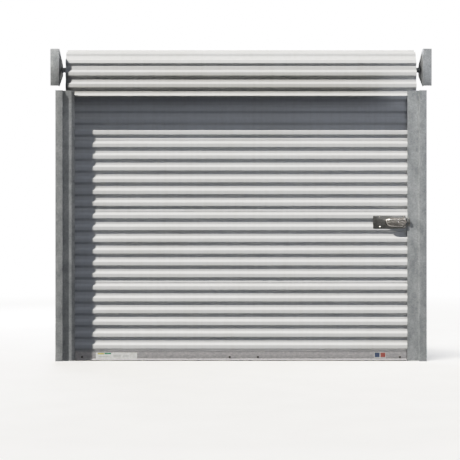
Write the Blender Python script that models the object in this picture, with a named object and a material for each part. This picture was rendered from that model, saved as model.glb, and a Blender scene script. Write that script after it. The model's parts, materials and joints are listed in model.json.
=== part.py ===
"""Roll-up door of corrugated steel sheet, worked by hand: curtain, guides, counterbalance drum and slide latch.

Metres, +Z up. X runs along the opening, to the right as seen from outside. Y runs into the building, from
the wall's inner face at y = 0. The origin is the middle of the opening, at floor level, on that face.
"""

import math

import bmesh
import bpy

# Opening, running gap, and how many sides the turned pieces have
OPENING_WIDTH = 2.743
GAP = 0.0003
TURNED_STEPS = 24

# Corrugated sheet: the ribs stand towards the outside (-Y)
SHEET_THICKNESS = 0.0008
RIB_PITCH = 0.0955
RIB_DEPTH = 0.0160
RIB_CREST = 0.0270
RIB_FLANK = 0.0200
RIB_VALLEY = RIB_PITCH - RIB_CREST - 2 * RIB_FLANK
RIBS_PER_SHEET = 6
SEAM_EXTRA = 0.0060
SEAM_LAP = 0.0060
SEAM_STEP = 0.0014
SEAM_EASE = 0.0030
SHEET_HEIGHT = RIBS_PER_SHEET * RIB_PITCH + SEAM_EXTRA
SHEETS_HANGING = 4
FLANK_STEPS = 4
CURTAIN_Y = 0.0600
CURTAIN_HALF_WIDTH = 1.4250
FIRST_SEAM_Z = 0.0620
SHEET_BOTTOM_Z = 0.0400
VALLEY_Y = CURTAIN_Y + RIB_DEPTH / 2
CREST_FRONT_Y = CURTAIN_Y - RIB_DEPTH / 2 - SHEET_THICKNESS / 2

# Drum and roll: the curtain leaves the roll's outer face at TANGENT_Z
TANGENT_Z = FIRST_SEAM_Z + SHEETS_HANGING * SHEET_HEIGHT
ROLL_RADIUS = 0.1590
ROLL_GROWTH = 0.0185
ROLL_TURNS = 1.05
ROLL_LONGEST_STEP = 0.0120
AXLE_Y = CURTAIN_Y + ROLL_RADIUS
AXLE_Z = TANGENT_Z
AXLE_RADIUS = 0.0211
AXLE_BORE = 0.0175
AXLE_HALF_LENGTH = 1.5600
WHEEL_RADIUS = 0.1295
WHEEL_RIM = 0.0120
WHEEL_WIDTH = 0.0400
WHEEL_WEB = 0.0060
WHEEL_HUB_RADIUS = 0.0350
WHEEL_FILLET = 0.0040
WHEEL_WINDOWS = 5
WHEEL_WINDOW_RADIUS = 0.0240
WHEEL_WINDOW_CIRCLE = 0.0760
WHEEL_X = (-1.3800, -0.4600, 0.4600, 1.3800)
BEARING_OUTER = 0.0245
BEARING_WIDTH = 0.0560
SPRING_RADIUS = 0.0330
SPRING_WIRE = 0.0042
SPRING_TURNS = 18
SPRING_SIDES = 10
SPRING_PITCH = 0.0170
SPRING_OUTER_X = 1.3510
ANCHOR_RADIUS = 0.0400
ANCHOR_WIDTH = 0.0300
ANCHOR_CHAMFER = 0.0080
ANCHOR_CLEARANCE = 0.0010

# Guides: a channel on a wall flange, mirrored left and right
GUIDE_HEIGHT = 2.1900
GUIDE_GAUGE = 0.0025
GUIDE_LIP_X = OPENING_WIDTH / 2 - 0.0240
GUIDE_WEB_X = 1.4400
GUIDE_FLANGE_X = 1.5000
GUIDE_FRONT_Y = 0.0335
GUIDE_BACK_Y = 0.0865
GUIDE_RETURN = 0.0080
LINER_GAUGE = 0.0022
LINER_SET_BACK = 0.0030
LINER_END = 0.0020
GUIDE_BOLT_X = 1.4720
GUIDE_BOLT_Z = (0.2500, 1.1000, 1.9500)

# Head brackets
BRACKET_X = 1.4700
BRACKET_GAUGE = 0.0055
BRACKET_FLANGE_X = 1.5400
BRACKET_BOTTOM_Z = 2.2250
BRACKET_TOP_Z = 2.5250
BRACKET_NOSE = 0.0620
BRACKET_NOSE_ANGLE = 62
BRACKET_SHOULDER_Y = 0.0500
BRACKET_BOLT_X = 1.5080
BRACKET_BOLT_Z = (2.2600, 2.4900)
COLLAR_RADIUS = 0.0360
COLLAR_WIDTH = 0.0240
COLLAR_CHAMFER = 0.0020

# Fastener heads: radius and height
GUIDE_BOLT_HEAD = (0.0095, 0.0080)
BRACKET_BOLT_HEAD = (0.0115, 0.0095)
BAR_SCREW_HEAD = (0.0085, 0.0040)
RIVET_HEAD = (0.0060, 0.0035)
KEEPER_SCREW_HEAD = (0.0050, 0.0028)
WASHER_GAUGE = 0.0016
WASHER_OVERSIZE = 1.35
HEX_CHAMFER = 0.0012
HEAD_SIDES = 12

# Bottom bar
BAR_HALF_WIDTH = 1.3430
BAR_HEIGHT = 0.0770
BAR_FACE_Y = 0.0480
BAR_WALL = 0.0025
BAR_BASE_Z = 0.0060
BAR_TOE_Y = 0.0380
BAR_TOE_TOP_Z = 0.0145
BAR_BACK_Y = 0.0665
BAR_INNER_BOTTOM_Z = 0.0350
ANGLE_FRONT_Y = 0.0690
ANGLE_LEG = 0.0410
ANGLE_GAUGE = 0.0030
ANGLE_BOTTOM_Z = 0.0200
ANGLE_TOP_Z = 0.0700
SEAL_FRONT_Y = 0.0430
SEAL_BACK_Y = 0.0620
SEAL_BULB = 0.0030
BAR_SCREW_X = (-1.2890, -0.0910, 0.1380, 1.2890)
BAR_SCREW_Z = 0.0310
LABEL_THICKNESS = 0.0002
LABEL_LEFT = (-1.1760, -0.8430, 0.0150, 0.0670)
LABEL_RIGHT = (1.0790, 1.1760, 0.0240, 0.0720)
LABEL_CORNER = 0.0040

# Slide latch, riveted to the two ribs either side of LATCH_Z, a little above the middle of the valley
LATCH_RIB = 4
LATCH_RISE = 0.0033
LATCH_Z = FIRST_SEAM_Z + SHEET_HEIGHT + SEAM_EXTRA / 2 + (LATCH_RIB + 1) * RIB_PITCH + LATCH_RISE
LATCH_PLATE_X = (1.0710, 1.3360)
LATCH_PLATE_HALF_HEIGHT = 0.0530
LATCH_PLATE_GAUGE = 0.0016
LATCH_PLATE_CORNER = 0.0060
LATCH_PLATE_Y = CREST_FRONT_Y - GAP - LATCH_PLATE_GAUGE
LATCH_RIVETS = ((1.1265, 0.0400), (1.3200, 0.0446))
HOUSING_X = (1.1680, 1.3300)
HOUSING_HALF_HEIGHT = 0.0380
HOUSING_FRONT_Y = 0.0080
HOUSING_GAUGE = 0.0016
HOUSING_CORNER = 0.0160
BOLT_X = (1.2060, 1.3400)
BOLT_Y = (0.0185, 0.0305)
BOLT_HALF_HEIGHT = 0.0100
BOLT_TRAVEL = 0.0300
BOLT_CORNER = 0.0020
TAB_X = (1.2150, 1.2350)
TAB_FRONT_Y = 0.0020
TAB_HALF_HEIGHT = 0.0075
TAB_CORNER = 0.0030
SLOT_MARGIN = 0.0030
SLOT_CORNER = 0.0040
RAIL_X = (1.2100, 1.3200)
RAIL_WALL = 0.0022
RAIL_LIP_SET_BACK = 0.0010
KEEPER_X = (1.3520, 1.3680)
KEEPER_HALF_LENGTH = 0.0340
KEEPER_GAUGE = 0.0020
KEEPER_CLEARANCE = 0.0015
KEEPER_SCREW_Z = 0.0240

# How far a hidden cutter runs past the face it cuts
OVERRUN = 0.0050


def clear_scene():
    for obj in list(bpy.data.objects):
        bpy.data.objects.remove(obj, do_unlink=True)


def material(name, color, roughness, metallic):
    found = bpy.data.materials.get(name)
    if found:
        return found
    made = bpy.data.materials.new(name)
    made.use_nodes = True
    shader = made.node_tree.nodes["Principled BSDF"]
    shader.inputs["Base Color"].default_value = (*color, 1.0)
    shader.inputs["Roughness"].default_value = roughness
    shader.inputs["Metallic"].default_value = metallic
    made.diffuse_color = (*color, 1.0)
    return made


def painted_steel():
    return material("pre_painted_steel", (0.56, 0.57, 0.57), 0.42, 0.0)


def galvanised_steel():
    return material("galvanised_steel", (0.42, 0.44, 0.45), 0.45, 1.0)


def mill_aluminium():
    return material("mill_aluminium", (0.50, 0.51, 0.53), 0.40, 1.0)


def stainless_steel():
    return material("stainless_steel", (0.60, 0.60, 0.58), 0.20, 1.0)


def zinc_plate():
    return material("zinc_plate", (0.45, 0.46, 0.46), 0.35, 1.0)


def spring_steel():
    return material("spring_steel", (0.06, 0.06, 0.07), 0.38, 1.0)


def rubber():
    return material("rubber_seal", (0.03, 0.03, 0.03), 0.80, 0.0)


def wheel_plastic():
    return material("moulded_plastic", (0.05, 0.05, 0.055), 0.50, 0.0)


def liner_plastic():
    return material("liner_plastic", (0.10, 0.10, 0.11), 0.55, 0.0)


def label_vinyl():
    return material("label_vinyl", (0.80, 0.81, 0.80), 0.45, 0.0)


def finish(name, bm, surface, location=(0.0, 0.0, 0.0)):
    """Makes a node from a closed bmesh, with its faces turned outwards."""
    bmesh.ops.recalc_face_normals(bm, faces=bm.faces)
    mesh = bpy.data.meshes.new(name)
    bm.to_mesh(mesh)
    bm.free()
    mesh.materials.append(surface)
    mesh.shade_smooth()
    mesh.set_sharp_from_angle(angle=math.radians(35))
    obj = bpy.data.objects.new(name, mesh)
    obj.location = location
    bpy.context.collection.objects.link(obj)
    return obj


def on_axis(outline_point, axis):
    """Puts a point of a cross-section on the plane square to an axis."""
    a, b = outline_point
    return {"X": (0.0, a, b), "Y": (a, 0.0, b), "Z": (a, b, 0.0)}[axis]


def prism_mesh(outline, axis, start, end):
    """Extrudes a closed cross-section from start to end along an axis."""
    bm = bmesh.new()
    index = "XYZ".index(axis)
    corners = []
    for point in outline:
        place = list(on_axis(point, axis))
        place[index] = start
        corners.append(bm.verts.new(place))
    face = bm.faces.new(corners)
    grown = bmesh.ops.extrude_face_region(bm, geom=[face])
    moved = [item for item in grown["geom"] if isinstance(item, bmesh.types.BMVert)]
    shift = [0.0, 0.0, 0.0]
    shift[index] = end - start
    bmesh.ops.translate(bm, vec=shift, verts=moved)
    return bm


def prism(name, outline, axis, start, end, surface, location=(0.0, 0.0, 0.0)):
    return finish(name, prism_mesh(outline, axis, start, end), surface, location)


def turned(name, profile, axis, steps, surface, location):
    """Spins a closed (along, radius) profile round an axis through the object's own origin."""
    bm = bmesh.new()
    index = "XYZ".index(axis)
    corners = []
    for along, radius in profile:
        place = [0.0, 0.0, 0.0]
        place[index] = along
        place[(index + 1) % 3] = radius
        corners.append(bm.verts.new(place))
    loop = [bm.edges.new((corners[i - 1], corners[i])) for i in range(len(corners))]
    direction = [0.0, 0.0, 0.0]
    direction[index] = 1.0
    bmesh.ops.spin(
        bm,
        geom=loop + corners,
        cent=(0.0, 0.0, 0.0),
        axis=direction,
        angle=2 * math.pi,
        steps=steps,
        use_merge=True,
    )
    bmesh.ops.remove_doubles(bm, verts=bm.verts, dist=1e-6)
    return finish(name, bm, surface, location)


def ring_profile(half_width, inner, outer):
    return [(-half_width, inner), (-half_width, outer), (half_width, outer), (half_width, inner)]


def arc(center, radius, start, end, steps):
    """Points on an arc, from one angle to another in degrees."""
    points = []
    for i in range(steps + 1):
        angle = math.radians(start + (end - start) * i / steps)
        points.append((center[0] + radius * math.cos(angle), center[1] + radius * math.sin(angle)))
    return points


def rounded_rectangle(low, high, radius, steps=3):
    (x0, z0), (x1, z1) = low, high
    return (
        arc((x1 - radius, z1 - radius), radius, 0, 90, steps)
        + arc((x0 + radius, z1 - radius), radius, 90, 180, steps)
        + arc((x0 + radius, z0 + radius), radius, 180, 270, steps)
        + arc((x1 - radius, z0 + radius), radius, 270, 360, steps)
    )


def ribbon(name, line, thickness, half_width, surface):
    """A sheet of even thickness that follows a line of (y, z) points and spans X."""
    bm = bmesh.new()
    rows = []
    for i, (y, z) in enumerate(line):
        before = line[max(i - 1, 0)]
        after = line[min(i + 1, len(line) - 1)]
        length = math.hypot(after[0] - before[0], after[1] - before[1])
        side_y = (after[1] - before[1]) / length * thickness / 2
        side_z = -(after[0] - before[0]) / length * thickness / 2
        row = []
        for x in (-half_width, half_width):
            for sign in (-1, 1):
                row.append(bm.verts.new((x, y + sign * side_y, z + sign * side_z)))
        rows.append(row)
    around = (0, 1, 3, 2)
    for low, high in zip(rows, rows[1:]):
        for i in range(4):
            a, b = around[i], around[(i + 1) % 4]
            bm.faces.new((low[a], low[b], high[b], high[a]))
    for row in (rows[0], rows[-1]):
        bm.faces.new([row[i] for i in around])
    return finish(name, bm, surface)


def cut(obj, cutter, operation="DIFFERENCE"):
    """Joins a hidden helper to a node, or takes it away, with an exact Boolean."""
    cutter.hide_render = True
    cutter.display_type = "WIRE"
    modifier = obj.modifiers.new("shape", "BOOLEAN")
    modifier.operation = operation
    modifier.solver = "EXACT"
    modifier.object = cutter


def attach(parent, *objects):
    """Hangs nodes on the empty that stands on their joint's axis."""
    for obj in objects:
        obj.parent = parent
        obj.location = obj.location - parent.location


def joint_empty(name, location):
    empty = bpy.data.objects.new(name, None)
    empty.location = location
    empty.empty_display_size = 0.1
    bpy.context.collection.objects.link(empty)
    return empty


def rib_offset(along):
    """How far the sheet's middle stands towards the outside, at a distance up from a seam's centre."""
    crest_start = SEAM_EXTRA / 2 + RIB_VALLEY / 2 + RIB_FLANK
    step = (along - SEAM_EXTRA / 2) % RIB_PITCH + SEAM_EXTRA / 2
    from_crest = max(crest_start - step, step - crest_start - RIB_CREST, 0.0)
    share = min(from_crest / RIB_FLANK, 1.0)
    return RIB_DEPTH / 2 * math.cos(math.pi * share)


def rib_stations():
    """Distances up one sheet where its section turns: the flanks in short steps, the flats in one."""
    stations = []
    for rib in range(RIBS_PER_SHEET):
        flank = SEAM_EXTRA / 2 + RIB_VALLEY / 2 + rib * RIB_PITCH
        for start in (flank, flank + RIB_FLANK + RIB_CREST):
            stations += [start + RIB_FLANK * i / FLANK_STEPS for i in range(FLANK_STEPS + 1)]
    return stations


def curtain_sheet(number):
    """One roll-formed sheet. Its lower edge laps over the front of the sheet below."""
    base = FIRST_SEAM_Z + number * SHEET_HEIGHT
    lowest = number == 0
    highest = number == SHEETS_HANGING - 1
    if lowest:
        line = [(VALLEY_Y, SHEET_BOTTOM_Z), (VALLEY_Y, base)]
    else:
        line = [
            (VALLEY_Y - SEAM_STEP, base - SEAM_LAP),
            (VALLEY_Y - SEAM_STEP, base + SEAM_LAP + GAP),
            (VALLEY_Y, base + SEAM_LAP + SEAM_EASE),
        ]
    for along in rib_stations():
        line.append((CURTAIN_Y - rib_offset(along), base + along))
    if highest:
        line.append((VALLEY_Y, base + SHEET_HEIGHT - GAP))
    else:
        line.append((VALLEY_Y, base + SHEET_HEIGHT + SEAM_LAP))
    return ribbon(f"curtain_sheet_{number + 1}", line, SHEET_THICKNESS, CURTAIN_HALF_WIDTH, painted_steel())


def wound_curtain():
    """The stretch of curtain that stays on the roll: a spiral from the tangent line in to the wheels."""
    turn_length = 2 * math.pi * ROLL_RADIUS
    length = turn_length * ROLL_TURNS
    stations = [GAP]
    sheet = 0
    while sheet * SHEET_HEIGHT < length:
        base = sheet * SHEET_HEIGHT
        for along in rib_stations():
            stations.append(base + along)
        stations.append(base + SHEET_HEIGHT)
        sheet += 1
    filled = []
    for start, end in zip(stations, stations[1:]):
        pieces = 2 if end - start > ROLL_LONGEST_STEP else 1
        filled += [start + (end - start) * i / pieces for i in range(pieces)]
    line = []
    for along in filled:
        if along > length:
            break
        turn = along / turn_length
        radius = ROLL_RADIUS - ROLL_GROWTH * turn + rib_offset(along % SHEET_HEIGHT)
        angle = 2 * math.pi * turn
        line.append((AXLE_Y - radius * math.cos(angle), AXLE_Z + radius * math.sin(angle)))
    return ribbon("wound_curtain", line, SHEET_THICKNESS, CURTAIN_HALF_WIDTH, painted_steel())


def drum_wheel(number, x):
    """A moulded wheel: rim, thin web with round windows, and a hub round its bearing."""
    half_width = WHEEL_WIDTH / 2
    half_web = WHEEL_WEB / 2
    half_hub = BEARING_WIDTH / 2
    rim = WHEEL_RADIUS - WHEEL_RIM
    bore = BEARING_OUTER + GAP
    profile = [
        (-half_hub, bore),
        (-half_hub, WHEEL_HUB_RADIUS),
        (-half_web, WHEEL_HUB_RADIUS + WHEEL_FILLET),
        (-half_web, rim - WHEEL_FILLET),
        (-half_width, rim),
        (-half_width, WHEEL_RADIUS),
        (half_width, WHEEL_RADIUS),
        (half_width, rim),
        (half_web, rim - WHEEL_FILLET),
        (half_web, WHEEL_HUB_RADIUS + WHEEL_FILLET),
        (half_hub, WHEEL_HUB_RADIUS),
        (half_hub, bore),
    ]
    wheel = turned(f"drum_wheel_{number}", profile, "X", TURNED_STEPS, wheel_plastic(), (x, AXLE_Y, AXLE_Z))
    for window in range(WHEEL_WINDOWS):
        angle = 2 * math.pi * window / WHEEL_WINDOWS
        center = (WHEEL_WINDOW_CIRCLE * math.cos(angle), WHEEL_WINDOW_CIRCLE * math.sin(angle))
        outline = arc(center, WHEEL_WINDOW_RADIUS, 7, 331, 9)
        helper = prism(
            f"window_cutter_{number}_{window}",
            outline,
            "X",
            -WHEEL_WIDTH,
            WHEEL_WIDTH,
            wheel_plastic(),
            (x, AXLE_Y, AXLE_Z),
        )
        cut(wheel, helper)
    bearing = turned(
        f"wheel_bearing_{number}",
        ring_profile(BEARING_WIDTH / 2, AXLE_RADIUS + GAP, BEARING_OUTER),
        "X",
        TURNED_STEPS,
        liner_plastic(),
        (x, AXLE_Y, AXLE_Z),
    )
    return [wheel, bearing]


def torsion_spring(side):
    """A coil of round wire on the axle, between an end wheel and its anchor."""
    curve = bpy.data.curves.new(f"{side_name(side)}_torsion_spring", "CURVE")
    curve.dimensions = "3D"
    curve.bevel_depth = SPRING_WIRE
    curve.bevel_resolution = 0
    curve.use_fill_caps = True
    count = SPRING_TURNS * SPRING_SIDES + 1
    spline = curve.splines.new("POLY")
    spline.points.add(count - 1)
    start = side * SPRING_OUTER_X
    for i in range(count):
        angle = 2 * math.pi * i / SPRING_SIDES
        x = start - side * (SPRING_WIRE + SPRING_PITCH * i / SPRING_SIDES)
        y = SPRING_RADIUS * math.cos(angle)
        z = side * SPRING_RADIUS * math.sin(angle)
        spline.points[i].co = (x, y, z, 1.0)
    curve.materials.append(spring_steel())
    spring = bpy.data.objects.new(curve.name, curve)
    spring.location = (0.0, AXLE_Y, AXLE_Z)
    bpy.context.collection.objects.link(spring)
    return spring


def side_name(side):
    return "left" if side < 0 else "right"


def mirrored(outline, side):
    """A cross-section whose first coordinate is measured outwards from the middle of the opening."""
    return [(side * a, b) for a, b in outline]


def guide(side):
    """Roll-formed channel with return lips, on a web and flange that stand on the wall."""
    t = GUIDE_GAUGE
    front, back = GUIDE_FRONT_Y, GUIDE_BACK_Y
    lip, web = GUIDE_LIP_X, GUIDE_WEB_X
    outline = [
        (GUIDE_FLANGE_X, 0.0),
        (GUIDE_FLANGE_X, t),
        (web + t, t),
        (web + t, back),
        (lip, back),
        (lip, back - t - GUIDE_RETURN),
        (lip + t, back - t - GUIDE_RETURN),
        (lip + t, back - t),
        (web, back - t),
        (web, front + t),
        (lip + t, front + t),
        (lip + t, front + t + GUIDE_RETURN),
        (lip, front + t + GUIDE_RETURN),
        (lip, front),
        (web, front),
        (web, 0.0),
    ]
    return prism(f"{side_name(side)}_guide", mirrored(outline, side), "Z", 0.0, GUIDE_HEIGHT, galvanised_steel())


def guide_liner(side):
    """Plastic channel inside the guide that the curtain's edge rubs on."""
    outer_x = GUIDE_WEB_X - GAP
    inner_x = GUIDE_LIP_X + GUIDE_GAUGE + LINER_SET_BACK
    front = GUIDE_FRONT_Y + GUIDE_GAUGE + GAP
    back = GUIDE_BACK_Y - GUIDE_GAUGE - GAP
    w = LINER_GAUGE
    outline = [
        (inner_x, front),
        (outer_x, front),
        (outer_x, back),
        (inner_x, back),
        (inner_x, back - w),
        (outer_x - w, back - w),
        (outer_x - w, front + w),
        (inner_x, front + w),
    ]
    name = f"{side_name(side)}_guide_liner"
    return prism(name, mirrored(outline, side), "Z", LINER_END, GUIDE_HEIGHT - LINER_END, liner_plastic())


def hex_bolt(name, x, y, z, head):
    """A hexagon head on its round washer, seen from inside the building."""
    radius, height = head
    turn = 360 / HEAD_SIDES
    flat = math.cos(math.radians(turn))
    levels = [
        (0.0, radius * WASHER_OVERSIZE, 1.0),
        (WASHER_GAUGE, radius * WASHER_OVERSIZE, 1.0),
        (WASHER_GAUGE, radius, flat),
        (height - HEX_CHAMFER, radius, flat),
        (height, radius - HEX_CHAMFER, flat),
    ]
    bm = bmesh.new()
    rows = []
    for along, size, between_corners in levels:
        row = []
        for i in range(HEAD_SIDES):
            angle = math.radians(turn * i)
            reach = size if i % 2 == 0 else size * between_corners
            row.append(bm.verts.new((reach * math.cos(angle), along, reach * math.sin(angle))))
        rows.append(row)
    for low, high in zip(rows, rows[1:]):
        for i in range(HEAD_SIDES):
            bm.faces.new((low[i - 1], low[i], high[i], high[i - 1]))
    bm.faces.new(rows[0])
    bm.faces.new(rows[-1])
    return finish(name, bm, zinc_plate(), (x, y, z))


def guide_bolts(side):
    for number, z in enumerate(GUIDE_BOLT_Z, start=1):
        name = f"{side_name(side)}_guide_bolt_{number}"
        hex_bolt(name, side * GUIDE_BOLT_X, GUIDE_GAUGE + GAP, z, GUIDE_BOLT_HEAD)


def head_bracket(side):
    """Plate that carries the axle's end, with a welded flange bolted to the wall."""
    nose = arc((AXLE_Y, AXLE_Z), BRACKET_NOSE, BRACKET_NOSE_ANGLE, -BRACKET_NOSE_ANGLE, 12)
    outline = [(0.0, BRACKET_BOTTOM_Z), (0.0, BRACKET_TOP_Z)]
    outline += [(BRACKET_SHOULDER_Y, BRACKET_TOP_Z)] + nose + [(BRACKET_SHOULDER_Y, BRACKET_BOTTOM_Z)]
    inner = side * BRACKET_X
    outer = side * (BRACKET_X + BRACKET_GAUGE)
    bracket = prism(f"{side_name(side)}_head_bracket", outline, "X", inner, outer, galvanised_steel())
    overlap = BRACKET_X + BRACKET_GAUGE / 5
    flange_outline = [
        (overlap, BRACKET_BOTTOM_Z),
        (BRACKET_FLANGE_X, BRACKET_BOTTOM_Z),
        (BRACKET_FLANGE_X, BRACKET_TOP_Z),
        (overlap, BRACKET_TOP_Z),
    ]
    flange = prism(
        f"flange_helper_{side_name(side)}",
        mirrored(flange_outline, side),
        "Y",
        0.0,
        BRACKET_GAUGE,
        galvanised_steel(),
    )
    cut(bracket, flange, "UNION")
    bore = prism(
        f"bracket_bore_cutter_{side_name(side)}",
        arc((0.0, 0.0), AXLE_RADIUS + GAP * 2, 0, 345, 23),
        "X",
        side * (BRACKET_X - OVERRUN),
        side * (BRACKET_X + BRACKET_GAUGE + OVERRUN),
        galvanised_steel(),
        (0.0, AXLE_Y, AXLE_Z),
    )
    cut(bracket, bore)
    for number, z in enumerate(BRACKET_BOLT_Z, start=1):
        name = f"{side_name(side)}_bracket_bolt_{number}"
        hex_bolt(name, side * BRACKET_BOLT_X, BRACKET_GAUGE + GAP, z, BRACKET_BOLT_HEAD)
    return bracket


def axle():
    """Fixed pipe that the wheels turn on."""
    profile = ring_profile(AXLE_HALF_LENGTH, AXLE_BORE, AXLE_RADIUS)
    return turned("axle", profile, "X", TURNED_STEPS, galvanised_steel(), (0.0, AXLE_Y, AXLE_Z))


def axle_collar(side):
    """Clamp ring on the axle, outside the bracket."""
    x = side * (BRACKET_X + BRACKET_GAUGE + GAP + COLLAR_WIDTH / 2)
    half = COLLAR_WIDTH / 2
    profile = [
        (-half, AXLE_RADIUS + GAP),
        (-half, COLLAR_RADIUS - COLLAR_CHAMFER),
        (-half + COLLAR_CHAMFER, COLLAR_RADIUS),
        (half - COLLAR_CHAMFER, COLLAR_RADIUS),
        (half, COLLAR_RADIUS - COLLAR_CHAMFER),
        (half, AXLE_RADIUS + GAP),
    ]
    return turned(f"{side_name(side)}_axle_collar", profile, "X", TURNED_STEPS, zinc_plate(), (x, AXLE_Y, AXLE_Z))


def spring_anchor(side):
    """Collar keyed to the axle that holds the spring's inner end still."""
    spring_end = SPRING_OUTER_X - SPRING_PITCH * SPRING_TURNS - 2 * SPRING_WIRE
    x = side * (spring_end - ANCHOR_CLEARANCE - ANCHOR_WIDTH / 2)
    half = ANCHOR_WIDTH / 2
    profile = [
        (-half, AXLE_RADIUS + GAP),
        (-half, ANCHOR_RADIUS - ANCHOR_CHAMFER),
        (-half + ANCHOR_CHAMFER, ANCHOR_RADIUS),
        (half - ANCHOR_CHAMFER, ANCHOR_RADIUS),
        (half, ANCHOR_RADIUS - ANCHOR_CHAMFER),
        (half, AXLE_RADIUS + GAP),
    ]
    return turned(f"{side_name(side)}_spring_anchor", profile, "X", TURNED_STEPS, zinc_plate(), (x, AXLE_Y, AXLE_Z))


def bottom_bar():
    """Extruded bar with an outer face, a sloping toe and a rear wall that the lowest sheet is fixed to."""
    w = BAR_WALL
    top = BAR_HEIGHT
    base = BAR_BASE_Z
    outline = [
        (BAR_TOE_Y, base),
        (BAR_BACK_Y, base),
        (BAR_BACK_Y, base + w),
        (BAR_FACE_Y + w, base + w),
        (BAR_FACE_Y + w, top - w),
        (BAR_BACK_Y - w, top - w),
        (BAR_BACK_Y - w, BAR_INNER_BOTTOM_Z),
        (BAR_BACK_Y, BAR_INNER_BOTTOM_Z),
        (BAR_BACK_Y, top),
        (BAR_FACE_Y - w, top),
        (BAR_FACE_Y - w, top - w),
        (BAR_FACE_Y, top - w),
        (BAR_FACE_Y, BAR_TOE_TOP_Z),
        (BAR_TOE_Y, base + w),
    ]
    return prism("bottom_bar", outline, "X", -BAR_HALF_WIDTH, BAR_HALF_WIDTH, mill_aluminium())


def bottom_angle():
    """Steel angle that stiffens the bar from inside."""
    front, t = ANGLE_FRONT_Y, ANGLE_GAUGE
    outline = [
        (front, ANGLE_BOTTOM_Z),
        (front + ANGLE_LEG, ANGLE_BOTTOM_Z),
        (front + ANGLE_LEG, ANGLE_BOTTOM_Z + t),
        (front + t, ANGLE_BOTTOM_Z + t),
        (front + t, ANGLE_TOP_Z),
        (front, ANGLE_TOP_Z),
    ]
    return prism("bottom_angle", outline, "X", -BAR_HALF_WIDTH, BAR_HALF_WIDTH, galvanised_steel())


def bottom_seal():
    """Soft strip under the bar that lies on the floor."""
    top = BAR_BASE_Z - GAP
    half = (SEAL_BACK_Y - SEAL_FRONT_Y) / 2
    middle = SEAL_FRONT_Y + half
    outline = [(SEAL_BACK_Y, top), (SEAL_FRONT_Y, top)]
    for i in range(9):
        angle = math.pi * (1 + i / 8)
        outline.append((middle + half * math.cos(angle), SEAL_BULB + SEAL_BULB * math.sin(angle)))
    return prism("bottom_seal", outline, "X", -BAR_HALF_WIDTH, BAR_HALF_WIDTH, rubber())


def dome_head(name, x, y, z, head, surface):
    """A low round head that stands towards the outside from y."""
    radius, height = head
    bm = bmesh.new()
    rows = []
    for size, along in ((1.0, 0.0), (1.0, 0.35), (0.80, 0.75), (0.45, 1.0)):
        row = []
        for i in range(HEAD_SIDES):
            angle = 2 * math.pi * i / HEAD_SIDES
            place = (radius * size * math.cos(angle), -height * along, radius * size * math.sin(angle))
            row.append(bm.verts.new(place))
        rows.append(row)
    for low, high in zip(rows, rows[1:]):
        for i in range(HEAD_SIDES):
            bm.faces.new((low[i - 1], low[i], high[i], high[i - 1]))
    bm.faces.new(rows[0])
    bm.faces.new(rows[-1])
    return finish(name, bm, surface, (x, y, z))


def bar_fittings():
    """Screw heads and blank labels on the bar's outer face."""
    made = []
    for number, x in enumerate(BAR_SCREW_X, start=1):
        y = BAR_FACE_Y - GAP
        made.append(dome_head(f"bar_screw_{number}", x, y, BAR_SCREW_Z, BAR_SCREW_HEAD, zinc_plate()))
    for name, (x0, x1, z0, z1) in (("care_label", LABEL_LEFT), ("origin_label", LABEL_RIGHT)):
        outline = rounded_rectangle((x0, z0), (x1, z1), LABEL_CORNER)
        y = BAR_FACE_Y - GAP
        made.append(prism(name, outline, "Y", y - LABEL_THICKNESS, y, label_vinyl()))
    return made


def latch_backplate():
    x0, x1 = LATCH_PLATE_X
    low = (x0, LATCH_Z - LATCH_PLATE_HALF_HEIGHT)
    high = (x1, LATCH_Z + LATCH_PLATE_HALF_HEIGHT)
    outline = rounded_rectangle(low, high, LATCH_PLATE_CORNER)
    front = LATCH_PLATE_Y
    return prism("latch_backplate", outline, "Y", front, front + LATCH_PLATE_GAUGE, stainless_steel())


def latch_rivets():
    made = []
    number = 1
    for x, apart in LATCH_RIVETS:
        for z in (LATCH_Z - apart, LATCH_Z + apart):
            y = LATCH_PLATE_Y - GAP
            made.append(dome_head(f"latch_rivet_{number}", x, y, z, RIVET_HEAD, stainless_steel()))
            number += 1
    return made


def housing_section(inset):
    """Half-round-cornered channel section of the housing, in (y, z)."""
    front = HOUSING_FRONT_Y + inset
    half = HOUSING_HALF_HEIGHT - inset
    corner = HOUSING_CORNER - inset
    back = LATCH_PLATE_Y - GAP
    return (
        [(back, LATCH_Z + half)]
        + arc((front + corner, LATCH_Z + half - corner), corner, 90, 180, 5)
        + arc((front + corner, LATCH_Z - half + corner), corner, 180, 270, 5)
        + [(back, LATCH_Z - half)]
    )


def latch_housing():
    """Pressed cover over the bolt: closed at its inner end, open to the jamb, with a slot for the thumb tab."""
    x0, x1 = HOUSING_X
    outline = housing_section(0.0)
    housing = prism("latch_housing", outline, "X", x0, x1, stainless_steel())
    inner = housing_section(HOUSING_GAUGE)
    inner[0] = (inner[0][0] + OVERRUN, inner[0][1])
    inner[-1] = (inner[-1][0] + OVERRUN, inner[-1][1])
    hollow = prism("housing_hollow_cutter", inner, "X", x0 + HOUSING_GAUGE, x1 + OVERRUN, stainless_steel())
    cut(housing, hollow)
    slot = prism(
        "housing_slot_cutter",
        rounded_rectangle(
            (TAB_X[0] - SLOT_MARGIN, LATCH_Z - TAB_HALF_HEIGHT - SLOT_MARGIN),
            (TAB_X[1] + BOLT_TRAVEL + SLOT_MARGIN, LATCH_Z + TAB_HALF_HEIGHT + SLOT_MARGIN),
            SLOT_CORNER,
        ),
        "Y",
        HOUSING_FRONT_Y - OVERRUN,
        HOUSING_FRONT_Y + HOUSING_GAUGE * 2,
        stainless_steel(),
    )
    cut(housing, slot)
    return housing


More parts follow.
